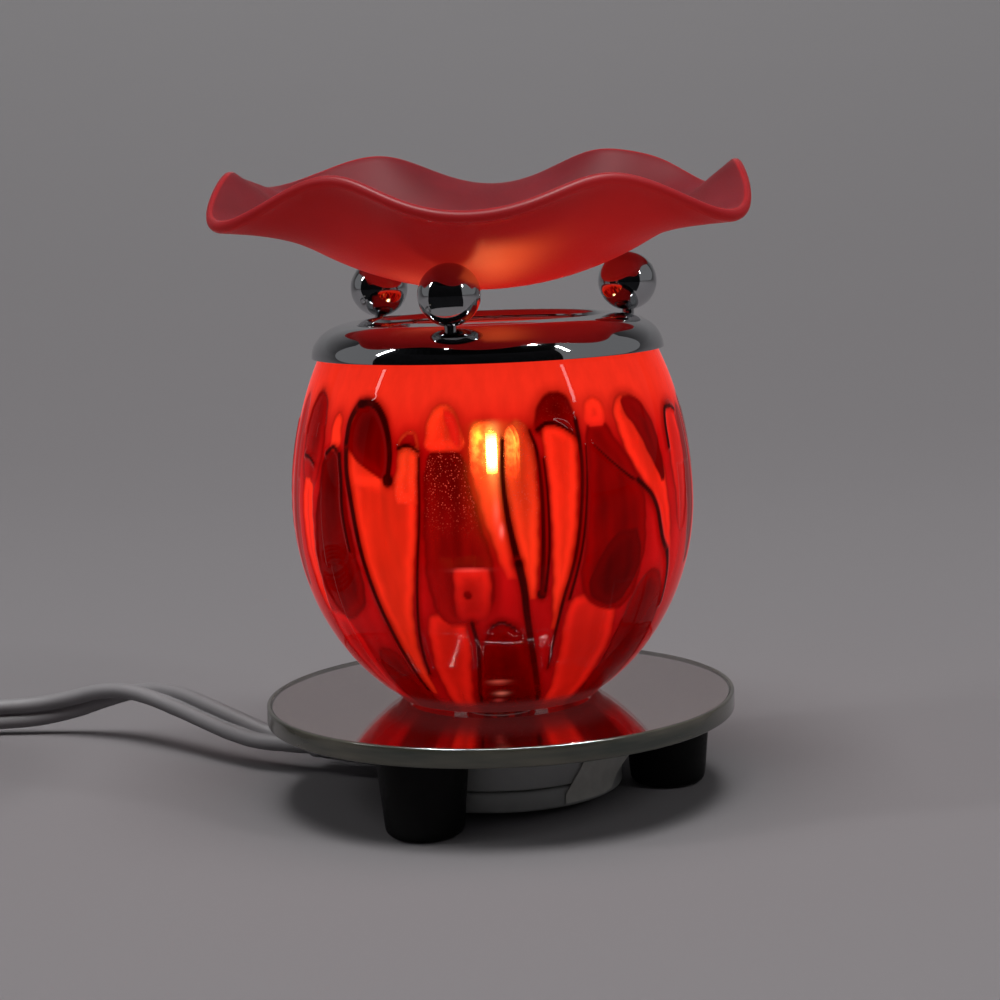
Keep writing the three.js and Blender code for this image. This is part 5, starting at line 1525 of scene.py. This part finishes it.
def make_plug(x, y):
    """The moulded plug: a ribbed collar round the cord, then the body that is gripped."""
    collar = [(0, 8.6, 4.8), (0.5, 9.4, 5.6), (4, 10.1, 6.4), (4.4, 9.5, 5.8), (5.4, 9.5, 5.8),
              (5.8, 10.4, 6.7), (8, 10.9, 7.3), (8.4, 10.3, 6.7), (9.4, 10.3, 6.7), (9.8, 11.2, 7.7),
              (11, 11.5, 8)]
    grip = [(12, 20, 12.0), (12.6, 22.6, 13.4), (14, 24.6, 14.3), (16, 24.7, 14.4), (22, 23.4, 13.2),
            (28, 23.4, 13.2), (31, 24.6, 14.3), (33, 24.7, 14.4), (33.7, 24.2, 13.9), (34, 23.0, 12.8)]
    return loft("plug_moulded", collar + grip, "plug_body", (x, y, plug_axis_height), -90)


# Finish, stage, light and camera

def dress_solids():
    """The record's finishes for the part's solids, but quartz for the pinch, chrome for ball screws."""
    finish_of = {row["node"]: row["material_slot"] for row in frame["record"]["subparts"]}
    finish_of["bulb_pinch"] = "pinch_quartz"
    finish_of.update({f"ball_screw_{name}": "chrome" for name in ball_angles})
    for solid in bpy.context.scene.objects:
        if solid.type == "MESH" and solid.name in finish_of:
            solid.data.materials.clear()
            solid.data.materials.append(finishes[finish_of[solid.name]])


def sweep_material():
    """Plain pale paper, a little lighter where it rises into the wall."""
    material, tree, shader = shader_of("pale_paper")
    rise = ranged(tree, height_of(tree), 0, 1, 0.0, paper_change_height)
    fibre = ranged(tree, noise(tree, 0.02), 0.0, 0.05)
    feed(tree, shader, {
        "Base Color": mixed(tree, fibre, mixed(tree, rise, floor_colour, wall_colour), fibre_colour),
        "Roughness": 0.75,
        "Specular IOR Level": 0.0,
    })
    return material


def make_stage():
    """A pale sweep: floor in front, curving up into a wall well behind the lamp."""
    bend_start, bend_radius, depth, half_width, wall = 0.5, 2.2, -3.0, 4.5, 4.0
    below_feet = 0.2 * millimetre
    profile = [(depth, 0), (-1.0, 0), (0, 0), (bend_start, 0)]
    profile += [(bend_start + bend_radius * math.sin(t), bend_radius * (1 - math.cos(t)))
                for t in np.radians(np.linspace(4, 90, 24))]
    profile.append((bend_start + bend_radius, wall))
    points = [(x, y, z - below_feet) for y, z in profile for x in (-half_width, half_width)]
    faces = [(2 * i, 2 * i + 1, 2 * i + 3, 2 * i + 2) for i in range(len(profile) - 1)]
    sweep = add_object("sweep", mesh_of("sweep", points, faces))
    shade_smooth(sweep.data)
    sweep.data.materials.append(sweep_material())


def make_dark_side():
    """The unlit side of the studio, behind the camera, which only chrome and glass show."""
    near, far, columns = 0.15, 1.7, 24
    profile = [(near, near, 0.004), (far, far, 0.004), (far, far, 1.25), (far, 1.0, 2.0),
               (far, 0.0, 2.25)]
    points = [(across * math.sin(a), -ahead * math.cos(a), z)
              for a in np.radians(np.linspace(-78, 48, columns)) for across, ahead, z in profile]
    count = len(profile)
    faces = [(i * count + j, (i + 1) * count + j, (i + 1) * count + j + 1, i * count + j + 1)
             for i in range(columns - 1) for j in range(count - 1)]
    card = add_object("dark_side", mesh_of("dark_side", points, faces))
    # A near black sheet that stands in for the shade of the unlit studio
    unlit_dark = plain("dark_cloth", (0.010, 0.010, 0.011), 0.9, shade=0.2, grain=0.02, gloss=0.0)
    card.data.materials.append(unlit_dark)
    card.visible_camera = False
    card.visible_shadow = False
    card.visible_diffuse = False


def area_lamp(name, width, length, power):
    data = bpy.data.lights.new(name, "AREA")
    data.shape = "RECTANGLE"
    data.size, data.size_y = width, length
    data.energy = power
    return add_object(name, data)


def soft_lamp(name, angle, rise, distance, width, length, power):
    """A softbox, placed by its angle from the front and its height angle, facing the lamp."""
    turn, lift = math.radians(angle), math.radians(rise)
    way = Vector((math.sin(turn) * math.cos(lift), -math.cos(turn) * math.cos(lift), math.sin(lift)))
    place = way * distance
    lamp = area_lamp(name, width, length, power)
    lamp.location = place + Vector((0, 0, lit_height))
    lamp.rotation_euler = place.to_track_quat("Z", "Y").to_euler()
    return lamp


def light_seam(name, place, width, length, turn):
    """A bright seam of the light tent overhead: glass and chrome show it as a thin line."""
    lamp = area_lamp(name, width, length, seam_power)
    lamp.location = place
    lamp.rotation_euler = (0, 0, math.radians(turn))
    lamp.visible_diffuse = False


def make_world():
    """An even pale surround, lighter where the camera, chrome and glass see it than it lights."""
    world = bpy.data.worlds.new("studio")
    bpy.context.scene.world = world
    world.use_nodes = True
    tree = world.node_tree
    rays = add_node(tree, "LightPath").outputs
    seen = maths(tree, "MAXIMUM", rays["Is Camera Ray"], rays["Is Glossy Ray"])
    seen = maths(tree, "MAXIMUM", seen, rays["Is Transmission Ray"])
    level = ranged(tree, seen, world_level, world_seen, 0, 1)
    feed(tree, tree.nodes["Background"], {"Color": (0.97, 0.98, 1.0), "Strength": level})


def make_light():
    make_world()
    soft_lamp("softbox_left", -79, 36, 1.3, 0.045, 0.45, softbox_power)
    soft_lamp("softbox_right", 55, 36, 1.3, 0.045, 0.45, softbox_power)
    soft_lamp("softbox_top", 0, 80, 3.0, 1.6, 1.6, top_power).visible_glossy = False
    light_seam("seam_front", (0.04, -0.80, 1.745), 1.5, seam_width, 6)
    light_seam("seam_left", (-0.64, -0.30, 1.83), seam_width, 1.0, 0)
    light_seam("seam_right", (0.72, -0.30, 1.83), seam_width, 1.0, 0)


def make_camera():
    """The camera at the photograph's place, turned by its yaw, pitch and roll."""
    pitch, yaw, roll = (math.radians(a) for a in (camera_pitch, camera_yaw, camera_roll))
    forward = Vector((math.sin(yaw) * math.cos(pitch), math.cos(yaw) * math.cos(pitch), -math.sin(pitch)))
    right = Vector((math.cos(yaw), -math.sin(yaw), 0))
    up = right.cross(forward)
    rolled_right = right * math.cos(roll) + up * math.sin(roll)
    rolled_up = up * math.cos(roll) - right * math.sin(roll)
    turn = Matrix((rolled_right, rolled_up, -forward)).transposed()
    data = bpy.data.cameras.new("camera")
    data.lens = camera_lens
    data.sensor_width = camera_sensor
    camera = add_object("camera", data)
    place = (Vector(camera_place) + Vector((0, -lamp_drift, 0))) * millimetre
    camera.matrix_world = Matrix.Translation(place) @ turn.to_4x4()
    bpy.context.scene.camera = camera
    bpy.context.scene.view_settings.view_transform = "Standard"


finishes = make_materials()
make_camera()
cord, cord_path = make_cord()
plug_x, plug_y = cord_path[-1][0] / millimetre, cord_path[-1][1] / millimetre + lamp_drift - seat_gap
make_relief()
plug = make_plug(plug_x, plug_y)
tie = make_tie()
make_dish()
make_lid()
make_balls()
make_jar()
make_bulb()
make_filament()
make_nipple_stack()
make_plate()
make_feet()
make_box()
make_label()
dress_solids()
make_stage()
make_dark_side()
make_light()
